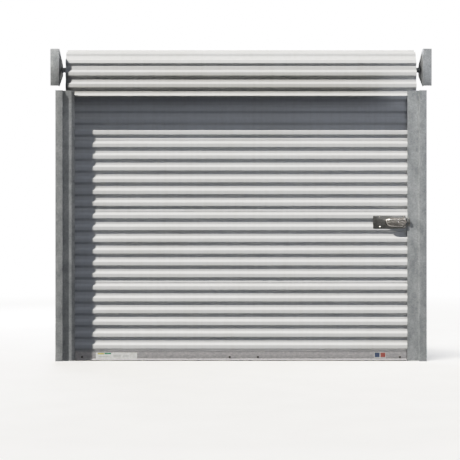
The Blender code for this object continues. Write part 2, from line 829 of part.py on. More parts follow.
def latch_rail():
    """Channel that the bolt slides in, fixed to the plate inside the housing."""
    half = BOLT_HALF_HEIGHT + GAP
    wall = half + RAIL_WALL
    front = BOLT_Y[0] + RAIL_LIP_SET_BACK
    bed = BOLT_Y[1] + GAP
    back = LATCH_PLATE_Y - GAP
    outline = [
        (back, LATCH_Z - wall),
        (back, LATCH_Z + wall),
        (front, LATCH_Z + wall),
        (front, LATCH_Z + half),
        (bed, LATCH_Z + half),
        (bed, LATCH_Z - half),
        (front, LATCH_Z - half),
        (front, LATCH_Z - wall),
    ]
    return prism("latch_rail", outline, "X", RAIL_X[0], RAIL_X[1], zinc_plate())


def latch_bolt():
    """Square slide bolt with its thumb tab, which stands out through the housing's slot."""
    low = (BOLT_Y[0], LATCH_Z - BOLT_HALF_HEIGHT)
    high = (BOLT_Y[1], LATCH_Z + BOLT_HALF_HEIGHT)
    section = rounded_rectangle(low, high, BOLT_CORNER, 2)
    bolt = prism("latch_slide_bolt", section, "X", BOLT_X[0], BOLT_X[1], stainless_steel())
    tab = prism(
        "thumb_tab_helper",
        rounded_rectangle(
            (TAB_X[0], LATCH_Z - TAB_HALF_HEIGHT), (TAB_X[1], LATCH_Z + TAB_HALF_HEIGHT), TAB_CORNER
        ),
        "Y",
        TAB_FRONT_Y,
        BOLT_Y[0] + OVERRUN,
        stainless_steel(),
    )
    cut(bolt, tab, "UNION")
    return bolt


def latch_keeper():
    """Bridge on the right guide's front lip that the bolt's end slides behind."""
    t = KEEPER_GAUGE
    seat = GUIDE_FRONT_Y - GAP
    arch = BOLT_HALF_HEIGHT + KEEPER_CLEARANCE
    crown = BOLT_Y[0] - KEEPER_CLEARANCE
    outline = [
        (seat, LATCH_Z - KEEPER_HALF_LENGTH),
        (seat, LATCH_Z - arch),
        (crown, LATCH_Z - arch),
        (crown, LATCH_Z + arch),
        (seat, LATCH_Z + arch),
        (seat, LATCH_Z + KEEPER_HALF_LENGTH),
        (seat - t, LATCH_Z + KEEPER_HALF_LENGTH),
        (seat - t, LATCH_Z + arch + t),
        (crown - t, LATCH_Z + arch + t),
        (crown - t, LATCH_Z - arch - t),
        (seat - t, LATCH_Z - arch - t),
        (seat - t, LATCH_Z - KEEPER_HALF_LENGTH),
    ]
    keeper = prism("latch_keeper", outline, "X", KEEPER_X[0], KEEPER_X[1], stainless_steel())
    middle = (KEEPER_X[0] + KEEPER_X[1]) / 2
    for number, sign in enumerate((-1, 1), start=1):
        z = LATCH_Z + sign * KEEPER_SCREW_Z
        dome_head(f"keeper_screw_{number}", middle, seat - t - GAP, z, KEEPER_SCREW_HEAD, zinc_plate())
    return keeper


def main():
    clear_scene()
    curtain = joint_empty("curtain_lift_axis", (0.0, CURTAIN_Y, FIRST_SEAM_Z))
    drum = joint_empty("drum_spin_axis", (0.0, AXLE_Y, AXLE_Z))
    carrier = joint_empty("latch_carrier_axis", (LATCH_PLATE_X[0], CREST_FRONT_Y, LATCH_Z))
    bolt_way = joint_empty("latch_bolt_axis", (BOLT_X[0], BOLT_Y[0], LATCH_Z))

    for number in range(SHEETS_HANGING):
        attach(curtain, curtain_sheet(number))
    attach(curtain, bottom_bar(), bottom_angle(), bottom_seal(), *bar_fittings())

    attach(drum, wound_curtain())
    for number, x in enumerate(WHEEL_X, start=1):
        attach(drum, *drum_wheel(number, x))
    for side in (-1, 1):
        attach(drum, torsion_spring(side))

    axle()
    for side in (-1, 1):
        guide(side)
        guide_liner(side)
        guide_bolts(side)
        head_bracket(side)
        axle_collar(side)
        spring_anchor(side)

    attach(carrier, latch_backplate(), latch_housing(), latch_rail(), *latch_rivets())
    attach(bolt_way, latch_bolt())
    latch_keeper()


main()
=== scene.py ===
"""Roll-up door of corrugated steel sheet: the finished surfaces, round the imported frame.

Metres, +Z up. X runs to the right as seen from outside and Y into the building. The origin is the middle of
the opening at floor level. Every piece is made in place and rides on its body of the frame.
"""

import json
import math

import bmesh
import bpy
import numpy as np
from mathutils import Matrix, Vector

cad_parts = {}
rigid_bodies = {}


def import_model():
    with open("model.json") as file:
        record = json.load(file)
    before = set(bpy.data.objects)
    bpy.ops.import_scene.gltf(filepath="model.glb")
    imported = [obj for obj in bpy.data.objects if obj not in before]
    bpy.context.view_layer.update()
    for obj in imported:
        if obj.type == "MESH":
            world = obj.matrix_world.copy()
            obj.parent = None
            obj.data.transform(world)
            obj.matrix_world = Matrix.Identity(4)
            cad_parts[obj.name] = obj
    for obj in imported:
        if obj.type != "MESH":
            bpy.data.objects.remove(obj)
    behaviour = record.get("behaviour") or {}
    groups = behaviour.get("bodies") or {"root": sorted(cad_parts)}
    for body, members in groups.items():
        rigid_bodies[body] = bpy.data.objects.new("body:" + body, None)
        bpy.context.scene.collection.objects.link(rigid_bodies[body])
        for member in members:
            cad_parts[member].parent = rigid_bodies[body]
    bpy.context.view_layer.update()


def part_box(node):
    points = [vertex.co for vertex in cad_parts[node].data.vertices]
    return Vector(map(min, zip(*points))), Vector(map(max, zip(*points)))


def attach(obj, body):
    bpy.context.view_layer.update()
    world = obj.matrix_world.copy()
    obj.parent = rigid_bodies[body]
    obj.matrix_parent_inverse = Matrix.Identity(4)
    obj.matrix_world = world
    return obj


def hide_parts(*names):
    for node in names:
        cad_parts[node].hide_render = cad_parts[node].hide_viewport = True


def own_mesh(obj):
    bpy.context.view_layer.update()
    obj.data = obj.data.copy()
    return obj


bl_info = {
    "name": "Roll-up Door",
    "version": (1, 0, 0),
    "blender": (4, 5, 0),
    "location": "3D View > Sidebar > Roll-up Door",
    "description": "Builds the curtain, guides, drum and latch of a roll-up door round its frame",
    "category": "Add Mesh",
}

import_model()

# Curtain section, as rolled
SHEET = 0.0008
PITCH = 0.0955
DEPTH = 0.0160
CREST = 0.0270
FLANK = 0.0200
VALLEY = PITCH - CREST - 2 * FLANK
BEND_EASE = 0.0008
RIBS = 6
SEAM_EXTRA = 0.0060
SEAM_LAP = 0.0060
SEAM_STEP = 0.0014
SEAM_BLEND = 0.0030
SHEET_FOOT = 0.0400
SHEET_RISE = RIBS * PITCH + SEAM_EXTRA
SHEETS = 4
CURTAIN_Y = 0.0600
VALLEY_Y = CURTAIN_Y + DEPTH / 2
FIRST_SEAM = 0.0620
TANGENT = FIRST_SEAM + SHEETS * SHEET_RISE
HALF_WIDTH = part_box("curtain_sheet_1")[1].x
GAP = 0.0003

# Roll and axle
ROLL_RADIUS = 0.1590
ROLL_GROWTH = 0.0185
ROLL_TURNS = 1.05
ROLL_STEP = 0.0060
AXLE = ((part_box("axle")[0].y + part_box("axle")[1].y) / 2, (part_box("axle")[0].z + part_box("axle")[1].z) / 2)
AXLE_RADIUS = 0.0211

# Latch
PLATE_LOW, PLATE_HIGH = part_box("latch_backplate")
LATCH_Z = (PLATE_LOW.z + PLATE_HIGH.z) / 2
HOUSING_SHOULDER = 0.0200
SLOT = (1.2120, 1.2680, LATCH_Z - 0.0105, LATCH_Z + 0.0105)

# Drum wheels
WHEEL_WINDOWS = 5
WINDOW_CIRCLE = 0.0760
WINDOW_RADIUS = 0.0240

# Fastener heads as (radius, height); washer, hexagon's flat as a share of its corner, and the dome's shares
GUIDE_BOLT_HEAD = (0.0095, 0.0080)
BRACKET_BOLT_HEAD = (0.0115, 0.0095)
SET_SCREW_HEAD = (0.0042, 0.0050)
BAR_SCREW_HEAD = (0.0085, 0.0040)
RIVET_HEAD = (0.0060, 0.0035)
KEEPER_SCREW_HEAD = (0.0050, 0.0028)
WASHER_GAUGE = 0.0016
WASHER_OVERSIZE = 1.35
HEX_FLAT = math.cos(math.radians(30))
DOME = ((1.0, 0.0), (1.0, 0.30), (0.93, 0.56), (0.80, 0.74), (0.62, 0.88), (0.42, 0.97))

# Light: the background's level, and where scene light ends up in the picture above plain colour
BACKGROUND = 2.0
SHOULDER = ((0.10, 0.10), (0.30, 0.30), (0.50, 0.49), (0.80, 0.65), (1.20, 0.79), (1.60, 0.92))

# Key light's direction per metre inwards, and the shadows (left, right, low, high) that strips throw in it
KEY_DIRECTION = (1.4, 1.0, -1.95)
FLOOR_LIGHT_DIRECTION = (0.25, 0.55, -2.1)
SHADE_AHEAD = 0.0800
SHADOWS = {"shade_top": (-1.3457, 1.3708, 1.8761, 2.1511), "shade_left": (-1.3457, -1.2007, -0.2379, 1.8761)}

# Settings that several materials share: one colour laid over another, and the span where a noise mostly lies
MULTIPLY = {"data_type": "RGBA", "blend_type": "MULTIPLY"}
MIDDLE = {"From Min": 0.3, "From Max": 0.7}


# ---------------------------------------------------------------- materials


def linear(hex_code):
    """Linear RGBA of an sRGB hex colour."""
    channels = [int(hex_code[i : i + 2], 16) / 255 for i in (0, 2, 4)]
    return (*[c / 12.92 if c <= 0.04045 else ((c + 0.055) / 1.055) ** 2.4 for c in channels], 1.0)


def per_mm(x, y, z):
    """Mapping scale that makes a pattern's grain x, y and z millimetres long."""
    return (1000 / x, 1000 / y, 1000 / z)


def add_node(tree, kind, settings, links=None):
    """Adds a shader node: settings are values of sockets or attributes, links name other nodes' outputs."""
    made = tree.nodes.new(f"ShaderNode{kind}")
    for key, value in settings.items():
        if key == "Stops":
            for stop, (place, hex_code) in zip(made.color_ramp.elements, value):
                stop.position = place
                stop.color = linear(hex_code)
        elif isinstance(key, int) or key in made.inputs:
            made.inputs[key].default_value = value
        else:
            setattr(made, key, value)
    for key, (other, output) in (links or {}).items():
        tree.links.new(other.outputs[output], made.inputs[key])
    return made


def surface(name, metallic, roughness):
    """A new material with its tree, its Principled shader and a source of object coordinates in metres."""
    made = bpy.data.materials.new(name)
    made.use_nodes = True
    tree = made.node_tree
    shader = tree.nodes["Principled BSDF"]
    shader.inputs["Metallic"].default_value = metallic
    shader.inputs["Roughness"].default_value = roughness
    return made, tree, shader, add_node(tree, "TexCoord", {})


def feed(tree, shader, sources):
    """Joins a material's finished patterns to its shader."""
    for socket, (node, output) in sources.items():
        tree.links.new(node.outputs[output], shader.inputs[socket])


def cached(make):
    """Makes a material once and hands out the same one after that."""
    kept = {}

    def get():
        if "made" not in kept:
            kept["made"] = make()
        return kept["made"]

    return get


def mottled(tree, place, grain, stops, detail=4, roughness=0.6):
    """A cloudy pattern, its grain in mm along x, y and z: the noise, and the noise coloured by stops."""
    scaled = add_node(tree, "Mapping", {"Scale": per_mm(*grain)}, {"Vector": (place, "Object")})
    settings = {"Scale": 1, "Detail": detail, "Roughness": roughness}
    noise = add_node(tree, "TexNoise", settings, {"Vector": (scaled, "Vector")})
    return noise, add_node(tree, "ValToRGB", {"Stops": stops}, {"Fac": (noise, "Fac")})


@cached
def coil_coated_steel():
    """Polyester coil coating on steel strip: satin and even, with rain streaks and a film of dust."""
    paint = (*bpy.context.scene.roll_up_door.paint_colour, 1.0)
    made, tree, shader, place = surface("coil_coated_steel", 0.0, 0.42)
    _, streaks = mottled(tree, place, (30, 30, 540), ((0.40, "FFFFFF"), (0.74, "E6E4DE")))
    streaked = add_node(tree, "Mix", {**MULTIPLY, 0: 0.30, 6: paint}, {7: (streaks, "Color")})
    dust, film = mottled(tree, place, (630, 210, 210), ((0.42, "FFFFFF"), (0.70, "E9E7E1")), 5, 0.62)
    dusted = add_node(tree, "Mix", {**MULTIPLY, 0: 0.35}, {6: (streaked, 2), 7: (film, "Color")})
    gloss = add_node(tree, "MapRange", {**MIDDLE, "To Min": 0.38, "To Max": 0.48}, {"Value": (dust, "Fac")})
    fine = add_node(tree, "Mapping", {"Scale": per_mm(4, 4, 4)}, {"Vector": (place, "Object")})
    peel = add_node(tree, "TexNoise", {"Scale": 1, "Detail": 2}, {"Vector": (fine, "Vector")})
    bump = add_node(tree, "Bump", {"Strength": 0.4, "Distance": 0.000012}, {"Height": (peel, "Fac")})
    feed(tree, shader, {"Base Color": (dusted, 2), "Roughness": (gloss, 0), "Normal": (bump, 0)})
    return made


@cached
def galvanised_steel():
    """Hot-dip galvanised steel: zinc crystals about 9 mm across, each of its own tone, dulled by weather."""
    made, tree, shader, place = surface("galvanised_steel", 0.55, 0.45)
    grid = add_node(tree, "Mapping", {"Scale": per_mm(9, 9, 9)}, {"Vector": (place, "Object")})
    crystals = add_node(tree, "TexVoronoi", {"Scale": 1}, {"Vector": (grid, "Vector")})
    each = add_node(tree, "SeparateColor", {}, {"Color": (crystals, "Color")})
    tone = add_node(tree, "ValToRGB", {"Stops": ((0.0, "A2A6A8"), (1.0, "B5B8BA"))}, {"Fac": (each, "Red")})
    _, bloom = mottled(tree, place, (70, 70, 110), ((0.40, "FFFFFF"), (0.68, "C9CCCD")))
    color = add_node(tree, "Mix", {**MULTIPLY, 0: 0.8}, {6: (tone, "Color"), 7: (bloom, "Color")})
    gloss = add_node(tree, "MapRange", {"To Min": 0.36, "To Max": 0.54}, {"Value": (each, "Green")})
    bump = add_node(tree, "Bump", {"Strength": 0.35, "Distance": 0.00002}, {"Height": (each, "Blue")})
    feed(tree, shader, {"Base Color": (color, 2), "Roughness": (gloss, 0), "Normal": (bump, 0)})
    return made


@cached
def mill_aluminium():
    """Extruded aluminium as it leaves the die: lines along its length, clouded by oxide and handling."""
    made, tree, shader, place = surface("mill_aluminium", 0.50, 0.46)
    clouds, tone = mottled(tree, place, (26, 15, 15), ((0.34, "A9A8AA"), (0.68, "CAC8C8")), 6, 0.68)
    lines, shade = mottled(tree, place, (510, 1.6, 1.6), ((0.35, "E6E6E8"), (0.65, "FFFFFF")), 2, 0.5)
    color = add_node(tree, "Mix", {**MULTIPLY, 0: 0.6}, {6: (tone, "Color"), 7: (shade, "Color")})
    gloss = add_node(tree, "MapRange", {**MIDDLE, "To Min": 0.55, "To Max": 0.42}, {"Value": (clouds, "Fac")})
    bump = add_node(tree, "Bump", {"Strength": 0.5, "Distance": 0.00006}, {"Height": (lines, "Fac")})
    feed(tree, shader, {"Base Color": (color, 2), "Roughness": (gloss, 0), "Normal": (bump, 0)})
    return made


@cached
def polished_stainless():
    """Pressed stainless steel, polished after pressing: bright, with finger marks that dull it in places."""
    made, tree, shader, place = surface("polished_stainless", 1.0, 0.16)
    grime, tone = mottled(tree, place, (18, 14, 12), ((0.36, "BDB8B1"), (0.66, "DBD7D1")))
    gloss = add_node(tree, "MapRange", {**MIDDLE, "To Min": 0.24, "To Max": 0.12}, {"Value": (grime, "Fac")})
    drawn = add_node(tree, "Mapping", {"Scale": per_mm(34, 15, 11)}, {"Vector": (place, "Object")})
    swell = {"Scale": 1, "Detail": 1.6, "Roughness": 0.45}
    waves = add_node(tree, "TexNoise", swell, {"Vector": (drawn, "Vector")})
    bump = add_node(tree, "Bump", {"Strength": 0.5, "Distance": 0.0010}, {"Height": (waves, "Fac")})
    feed(tree, shader, {"Base Color": (tone, "Color"), "Roughness": (gloss, 0), "Normal": (bump, 0)})
    return made


@cached
def brushed_stainless():
    """Cold-rolled stainless strip with a brushed face: grain along its length, a soft shine, handled dull. Its
    base colour is painted darker than the steel's own, as painted shade for dark surroundings mirrored in it.
    """
    made, tree, shader, place = surface("brushed_stainless", 1.0, 0.30)
    # Painted shade: the 868683 to A5A4A0 tone is far darker than stainless steel and stands in for a dark
    # reflection.
    grain, tone = mottled(tree, place, (54, 0.9, 0.9), ((0.30, "868683"), (0.70, "A5A4A0")), 2)
    _, film = mottled(tree, place, (60, 30, 30), ((0.36, "C4C6C6"), (0.64, "FFFFFF")), 4, 0.5)
    color = add_node(tree, "Mix", {**MULTIPLY, 0: 0.9}, {6: (tone, "Color"), 7: (film, "Color")})
    gloss = add_node(tree, "MapRange", {**MIDDLE, "To Min": 0.24, "To Max": 0.36}, {"Value": (grain, "Fac")})
    bump = add_node(tree, "Bump", {"Strength": 0.4, "Distance": 0.00003}, {"Height": (grain, "Fac")})
    feed(tree, shader, {"Base Color": (color, 2), "Roughness": (gloss, 0), "Normal": (bump, 0)})
    return made


@cached
def zinc_plate():
    """Bright zinc plating with a clear passivate: a cool shine with a faint yellow and blue bloom."""
    made, tree, shader, place = surface("zinc_plate", 0.85, 0.30)
    bloom, tone = mottled(tree, place, (9, 9, 9), ((0.34, "A9ADB4"), (0.66, "C6C3B8")), 3, 0.55)
    gloss = add_node(tree, "MapRange", {**MIDDLE, "To Min": 0.24, "To Max": 0.38}, {"Value": (bloom, "Fac")})
    feed(tree, shader, {"Base Color": (tone, "Color"), "Roughness": (gloss, 0)})
    return made


@cached
def weathered_zinc():
    """Zinc-plated screw heads coloured a dull, near-black grey all over."""
    made, tree, shader, place = surface("weathered_zinc", 0.55, 0.60)
    _, tone = mottled(tree, place, (6, 6, 6), ((0.34, "2E2D2C"), (0.66, "57534C")), 4, 0.65)
    feed(tree, shader, {"Base Color": (tone, "Color")})
    return made


@cached
def oil_tempered_wire():
    """Oil-tempered spring wire: a blue-black scale under a film of grease."""
    made, tree, shader, place = surface("oil_tempered_wire", 1.0, 0.36)
    scale, tone = mottled(tree, place, (8, 8, 8), ((0.35, "34363B"), (0.68, "55524E")))
    gloss = add_node(tree, "MapRange", {**MIDDLE, "To Min": 0.28, "To Max": 0.46}, {"Value": (scale, "Fac")})
    feed(tree, shader, {"Base Color": (tone, "Color"), "Roughness": (gloss, 0)})
    return made


@cached
def extruded_rubber():
    """Extruded EPDM rubber: matt, its black turned brown-grey by dust from the floor."""
    made, tree, shader, place = surface("extruded_rubber", 0.0, 0.78)
    dust, tone = mottled(tree, place, (33, 11, 11), ((0.34, "8A7970"), (0.64, "B7A69B")), 5, 0.65)
    bump = add_node(tree, "Bump", {"Strength": 0.6, "Distance": 0.00012}, {"Height": (dust, "Fac")})
    feed(tree, shader, {"Base Color": (tone, "Color"), "Normal": (bump, 0)})
    return made


@cached
def glass_filled_nylon():
    """Moulded nylon with glass fibre: near-black, with a fine matt grain from the fibres."""
    made, tree, shader, place = surface("glass_filled_nylon", 0.0, 0.52)
    fibre, tone = mottled(tree, place, (2.2, 2.2, 5.5), ((0.35, "2A2B2E"), (0.70, "434548")), 4, 0.7)
    bump = add_node(tree, "Bump", {"Strength": 0.5, "Distance": 0.00005}, {"Height": (fibre, "Fac")})
    feed(tree, shader, {"Base Color": (tone, "Color"), "Normal": (bump, 0)})
    return made


@cached
def extruded_polyethylene():
    """Extruded polyethylene wear strip: waxy dark grey with rub marks along the curtain's path."""
    made, tree, shader, place = surface("extruded_polyethylene", 0.0, 0.46)
    rub, tone = mottled(tree, place, (3, 3, 180), ((0.38, "3A3B3D"), (0.66, "64655F")), 3)
    gloss = add_node(tree, "MapRange", {**MIDDLE, "To Min": 0.38, "To Max": 0.55}, {"Value": (rub, "Fac")})
    feed(tree, shader, {"Base Color": (tone, "Color"), "Roughness": (gloss, 0)})
    return made


def cast_vinyl(name, hex_code):
    """Cast vinyl film of one colour: smooth, faintly glossy, a little chalky from the sun."""
    made, tree, shader, place = surface(name, 0.0, 0.34)
    _, film = mottled(tree, place, (18, 18, 18), ((0.35, "FFFFFF"), (0.70, "D9D7D1")))
    color = add_node(tree, "Mix", {**MULTIPLY, 0: 0.7, 6: linear(hex_code)}, {7: (film, "Color")})
    feed(tree, shader, {"Base Color": (color, 2)})
    return made


# ---------------------------------------------------------------- shape tools


def solid(name, bm, material, sharp=32.0):
    """A new object from a bmesh, shaded smooth except along its sharp edges."""
    bmesh.ops.recalc_face_normals(bm, faces=bm.faces)
    mesh = bpy.data.meshes.new(name)
    bm.to_mesh(mesh)
    bm.free()
    mesh.materials.append(material)
    mesh.shade_smooth()
    mesh.set_sharp_from_angle(angle=math.radians(sharp))
    obj = bpy.data.objects.new(name, mesh)
    bpy.context.scene.collection.objects.link(obj)
    return obj


def piece(name, bm, material, body, stands_for=(), sharp=32.0):
    """A solid that rides on a body of the frame and stands for CAD nodes."""
    return settle(solid(name, bm, material, sharp), body, stands_for)


def settle(obj, body, stands_for=()):
    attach(obj, body)
    if stands_for:
        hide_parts(*stands_for)
    return obj


def keep_shape(obj, sharp=32.0):
    """Swaps a piece's mesh for what its modifiers make of it."""
    bpy.context.view_layer.update()
    graph = bpy.context.evaluated_depsgraph_get()
    mesh = bpy.data.meshes.new_from_object(obj.evaluated_get(graph))
    obj.modifiers.clear()
    obj.data = mesh
    mesh.shade_smooth()
    mesh.set_sharp_from_angle(angle=math.radians(sharp))


def carve(obj, shape, operation="DIFFERENCE"):
    """Takes another shape away from a piece, or adds it, with a Boolean."""
    helper = solid("carving_helper", shape, obj.data.materials[0])
    change = obj.modifiers.new("carve", "BOOLEAN")
    change.operation = operation
    change.object = helper
    keep_shape(obj)
    bpy.data.objects.remove(helper)


def soften(obj, width):
    """Rounds off a piece's sharp edges."""
    bevel = obj.modifiers.new("rounded edges", "BEVEL")
    bevel.width = width
    bevel.segments = 2
    bevel.limit_method = "ANGLE"
    bevel.angle_limit = math.radians(35)
    keep_shape(obj)


def lofted(rows):
    """Skins closed rings of points in order and closes both ends."""
    bm = bmesh.new()
    rings = [[bm.verts.new(place) for place in row] for row in rows]
    for low, high in zip(rings, rings[1:]):
        for i in range(len(low)):
            bm.faces.new((low[i - 1], low[i], high[i], high[i - 1]))
    bm.faces.new(rings[0])
    bm.faces.new(rings[-1])
    return bm


def arc(center, radius, start, end, steps):
    """Points along an arc, from one angle to another in degrees."""
    angles = [math.radians(start + (end - start) * i / steps) for i in range(steps + 1)]
    return [(center[0] + radius * math.cos(angle), center[1] + radius * math.sin(angle)) for angle in angles]


def rectangle(left, right, low, high):
    return [(left, low), (right, low), (right, high), (left, high)]


def filleted(points, radius, steps=4, closed=True):
    """A polygon with each corner rounded; a corner's radius is cut down where its sides are short."""
    made = []
    count = len(points)
    for i, corner in enumerate(points):
        if not closed and i in (0, count - 1):
            made.append(corner)
            continue
        here = np.array(corner)
        to_last = np.array(points[i - 1]) - here
        to_next = np.array(points[(i + 1) % count]) - here
        last_length = np.linalg.norm(to_last)
        next_length = np.linalg.norm(to_next)
        to_last = to_last / last_length
        to_next = to_next / next_length
        half = math.acos(max(-1.0, min(1.0, float(to_last @ to_next)))) / 2
        if half > math.radians(88):
            made.append(corner)
            continue
        reach = min(radius / math.tan(half), 0.46 * last_length, 0.46 * next_length)
        size = reach * math.tan(half)
        middle = (to_last + to_next) / np.linalg.norm(to_last + to_next)
        center = here + middle * (size / math.sin(half))
        first = here + to_last * reach - center
        second = here + to_next * reach - center
        turn = math.pi - 2 * half
        sign = 1.0 if first[0] * second[1] - first[1] * second[0] > 0 else -1.0
        for k in range(steps + 1):
            angle = sign * turn * k / steps
            cos, sin = math.cos(angle), math.sin(angle)
            a = float(center[0] + first[0] * cos - first[1] * sin)
            b = float(center[1] + first[0] * sin + first[1] * cos)
            made.append((a, b))
    return made


def extruded(outline, axis, start, end, edge=0.0):
    """A bar of one cross-section along an axis; edge draws in its two ends by a small chamfer."""
    index = "XYZ".index(axis)
    others = [i for i in range(3) if i != index]
    center = np.mean(np.array(outline), axis=0)
    levels = [(start, 1.0), (end, 1.0)]
    if edge:
        share = 1.0 - 2 * edge / np.ptp(np.array(outline), axis=0).min()
        step = edge if end > start else -edge
        levels = [(start, share), (start + step, 1.0), (end - step, 1.0), (end, share)]
    rows = []
    for along, share in levels:
        row = []
        for a, b in outline:
            place = [0.0, 0.0, 0.0]
            place[index] = along
            place[others[0]] = center[0] + (a - center[0]) * share
            place[others[1]] = center[1] + (b - center[1]) * share
            row.append(place)
        rows.append(row)
    return lofted(rows)


def turned(profile, axis, steps, center):
    """A closed (along, radius) profile spun round an axis through a centre."""
    bm = bmesh.new()
    index = "XYZ".index(axis)
    first, second = (index + 1) % 3, (index + 2) % 3
    rows = []
    for k in range(steps):
        angle = 2 * math.pi * k / steps
        row = []
        for along, radius in profile:
            place = list(center)
            place[index] += along
            place[first] += radius * math.cos(angle)
            place[second] += radius * math.sin(angle)
            row.append(bm.verts.new(place))
        rows.append(row)
    count = len(profile)
    for k in range(steps):
        low, high = rows[k - 1], rows[k]
        for i in range(count):
            bm.faces.new((low[i - 1], low[i], high[i], high[i - 1]))
    return bm


def ring(half, inner, outer, edge):
    """Cross-section of a ring with broken edges."""
    near = [(-half, inner + edge), (-half, outer - edge), (-half + edge, outer), (half - edge, outer)]
    return near + [(half, outer - edge), (half, inner + edge), (half - edge, inner), (-half + edge, inner)]


def join(target, other):
    """Adds one bmesh's shape to another as a separate shell."""
    mesh = bpy.data.meshes.new("join")
    other.to_mesh(mesh)
    other.free()
    target.from_mesh(mesh)
    bpy.data.meshes.remove(mesh)
    return target


def ripple(x, z, amplitude):
    """The slight unevenness of a long rolled sheet: a few long waves that don't line up."""
    return amplitude * (
        0.50 * np.sin(2.1 * x + 5.3 * z + 0.7)
        + 0.30 * np.sin(5.7 * x - 3.1 * z + 2.1)
        + 0.20 * np.sin(11.3 * x + 9.7 * z + 4.4)
    )


def sheet_mesh(line, lows, thickness, half_width, columns, amplitude):
    """A thin sheet that follows a line of (y, z) points and spans X, with rounded unevenness across it."""
    line = np.array(line)
    tangents = np.gradient(line, axis=0)
    tangents /= np.linalg.norm(tangents, axis=1)[:, None]
    sides = np.stack([-tangents[:, 1], tangents[:, 0]], axis=1) * thickness / 2
    xs = np.linspace(-half_width, half_width, columns + 1)
    bm = bmesh.new()
    grids = []
    for sign in (1, -1):
        grid = []
        for (y, z), (side_y, side_z), along in zip(line, sides, lows):
            wave = ripple(xs, along, amplitude)
            push = np.array([side_y, side_z]) / (thickness / 2)
            row = []
            for x, w in zip(xs, wave):
                place = (x, y + sign * side_y + w * push[0], z + sign * side_z + w * push[1])
                row.append(bm.verts.new(place))
            grid.append(row)
        grids.append(grid)
    front, back = grids
    rows = len(front)
    for i in range(rows - 1):
        for j in range(columns):
            bm.faces.new((front[i][j], front[i][j + 1], front[i + 1][j + 1], front[i + 1][j]))
            bm.faces.new((back[i][j], back[i + 1][j], back[i + 1][j + 1], back[i][j + 1]))
        bm.faces.new((front[i][0], front[i + 1][0], back[i + 1][0], back[i][0]))
        bm.faces.new((front[i][-1], back[i][-1], back[i + 1][-1], front[i + 1][-1]))
    for j in range(columns):
        bm.faces.new((front[0][j], back[0][j], back[0][j + 1], front[0][j + 1]))
        bm.faces.new((front[-1][j], front[-1][j + 1], back[-1][j + 1], back[-1][j]))
    return bm


def rib_section():
    """One sheet's section as (distance up, stand-out) corners, flats and flanks with rounded bends."""
    out = DEPTH / 2
    corners = [(0.0, -out)]
    for rib in range(RIBS):
        foot = SEAM_EXTRA / 2 + VALLEY / 2 + rib * PITCH
        crest = foot + FLANK
        corners += [(foot + BEND_EASE, -out), (crest - BEND_EASE, out)]
        corners += [(crest + CREST + BEND_EASE, out), (crest + CREST + FLANK - BEND_EASE, -out)]
    corners.append((SHEET_RISE, -out))
    return filleted(corners, bpy.context.scene.roll_up_door.bend_radius, 5, closed=False)


def add_sheet(number):
    """A hanging sheet, lapped over the front of the one below."""
    base = FIRST_SEAM + number * SHEET_RISE
    section = rib_section()
    if number == 0:
        line = [(VALLEY_Y, SHEET_FOOT), (VALLEY_Y, base)]
    else:
        step_y = VALLEY_Y - SEAM_STEP
        line = [(step_y, base - SEAM_LAP), (step_y, base + SEAM_LAP + GAP)]
        line.append((VALLEY_Y, base + SEAM_LAP + SEAM_BLEND))
    for along, out in section[1:-1]:
        line.append((CURTAIN_Y - out, base + along))
    top = base + SHEET_RISE + (SEAM_LAP if number < SHEETS - 1 else -GAP)
    line.append((VALLEY_Y, top))
    lows = [z for _, z in line]
    columns = 56
    amplitude = bpy.context.scene.roll_up_door.unevenness
    bm = sheet_mesh(line, lows, SHEET, HALF_WIDTH, columns, amplitude)
    name = f"curtain_sheet_{number + 1}"
    obj = piece(f"{name}_rolled", bm, coil_coated_steel(), "curtain", [name])
    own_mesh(obj)
    return obj


def add_roll():
    """The turn of curtain on the drum: the same ribs, wound on a slow spiral."""
    turn_length = 2 * math.pi * ROLL_RADIUS
    length = turn_length * ROLL_TURNS
    section = rib_section()
    stations = []
    sheet = 0
    while sheet * SHEET_RISE < length:
        for along, out in section[:-1]:
            stations.append((sheet * SHEET_RISE + along, out))
        sheet += 1
    stations[0] = (GAP, stations[0][1])
    line, lows = [], []
    for (along, out), (after, out_after) in zip(stations, stations[1:]):
        pieces = max(1, int((after - along) / ROLL_STEP))
        for k in range(pieces):
            here = along + (after - along) * k / pieces
            if here > length:
                break
            stand = out + (out_after - out) * k / pieces
            turn = here / turn_length
            radius = ROLL_RADIUS - ROLL_GROWTH * turn + stand
            angle = 2 * math.pi * turn
            line.append((AXLE[0] - radius * math.cos(angle), AXLE[1] + radius * math.sin(angle)))
            lows.append(TANGENT + here)
    columns = 36
    bm = sheet_mesh(line, lows, SHEET, HALF_WIDTH, columns, 0.0)
    piece("wound_curtain_rolled", bm, coil_coated_steel(), "drum", ["wound_curtain"])


# ---------------------------------------------------------------- bottom bar


def add_bottom_bar():
    """Extrusion with rounded edges, two fine die grooves in its face and a sloping toe."""
    low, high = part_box("bottom_bar")
    face_y, wall, toe_top, inner_foot = 0.0480, 0.0025, 0.0145, 0.0350
    mouth, floor, sunk = 0.0020, 0.0012, 0.0007
    face = []
    for z in (0.0200, 0.0690):
        face += [(face_y, z - mouth), (face_y + sunk, z - floor)]
        face += [(face_y + sunk, z + floor), (face_y, z + mouth)]
    outline = [(low.y, low.z), (high.y, low.z), (high.y, low.z + wall), (face_y + wall, low.z + wall)]
    outline += [(face_y + wall, high.z - wall), (high.y - wall, high.z - wall), (high.y - wall, inner_foot)]
    outline += [(high.y, inner_foot), (high.y, high.z), (face_y - wall, high.z)]
    outline += [(face_y - wall, high.z - wall), (face_y, high.z - wall), *reversed(face)]
    outline += [(face_y, toe_top), (low.y, low.z + wall)]
    bm = extruded(filleted(outline, 0.0009, 3), "X", low.x, high.x)
    piece("bottom_bar_extrusion", bm, mill_aluminium(), "curtain", ["bottom_bar"])


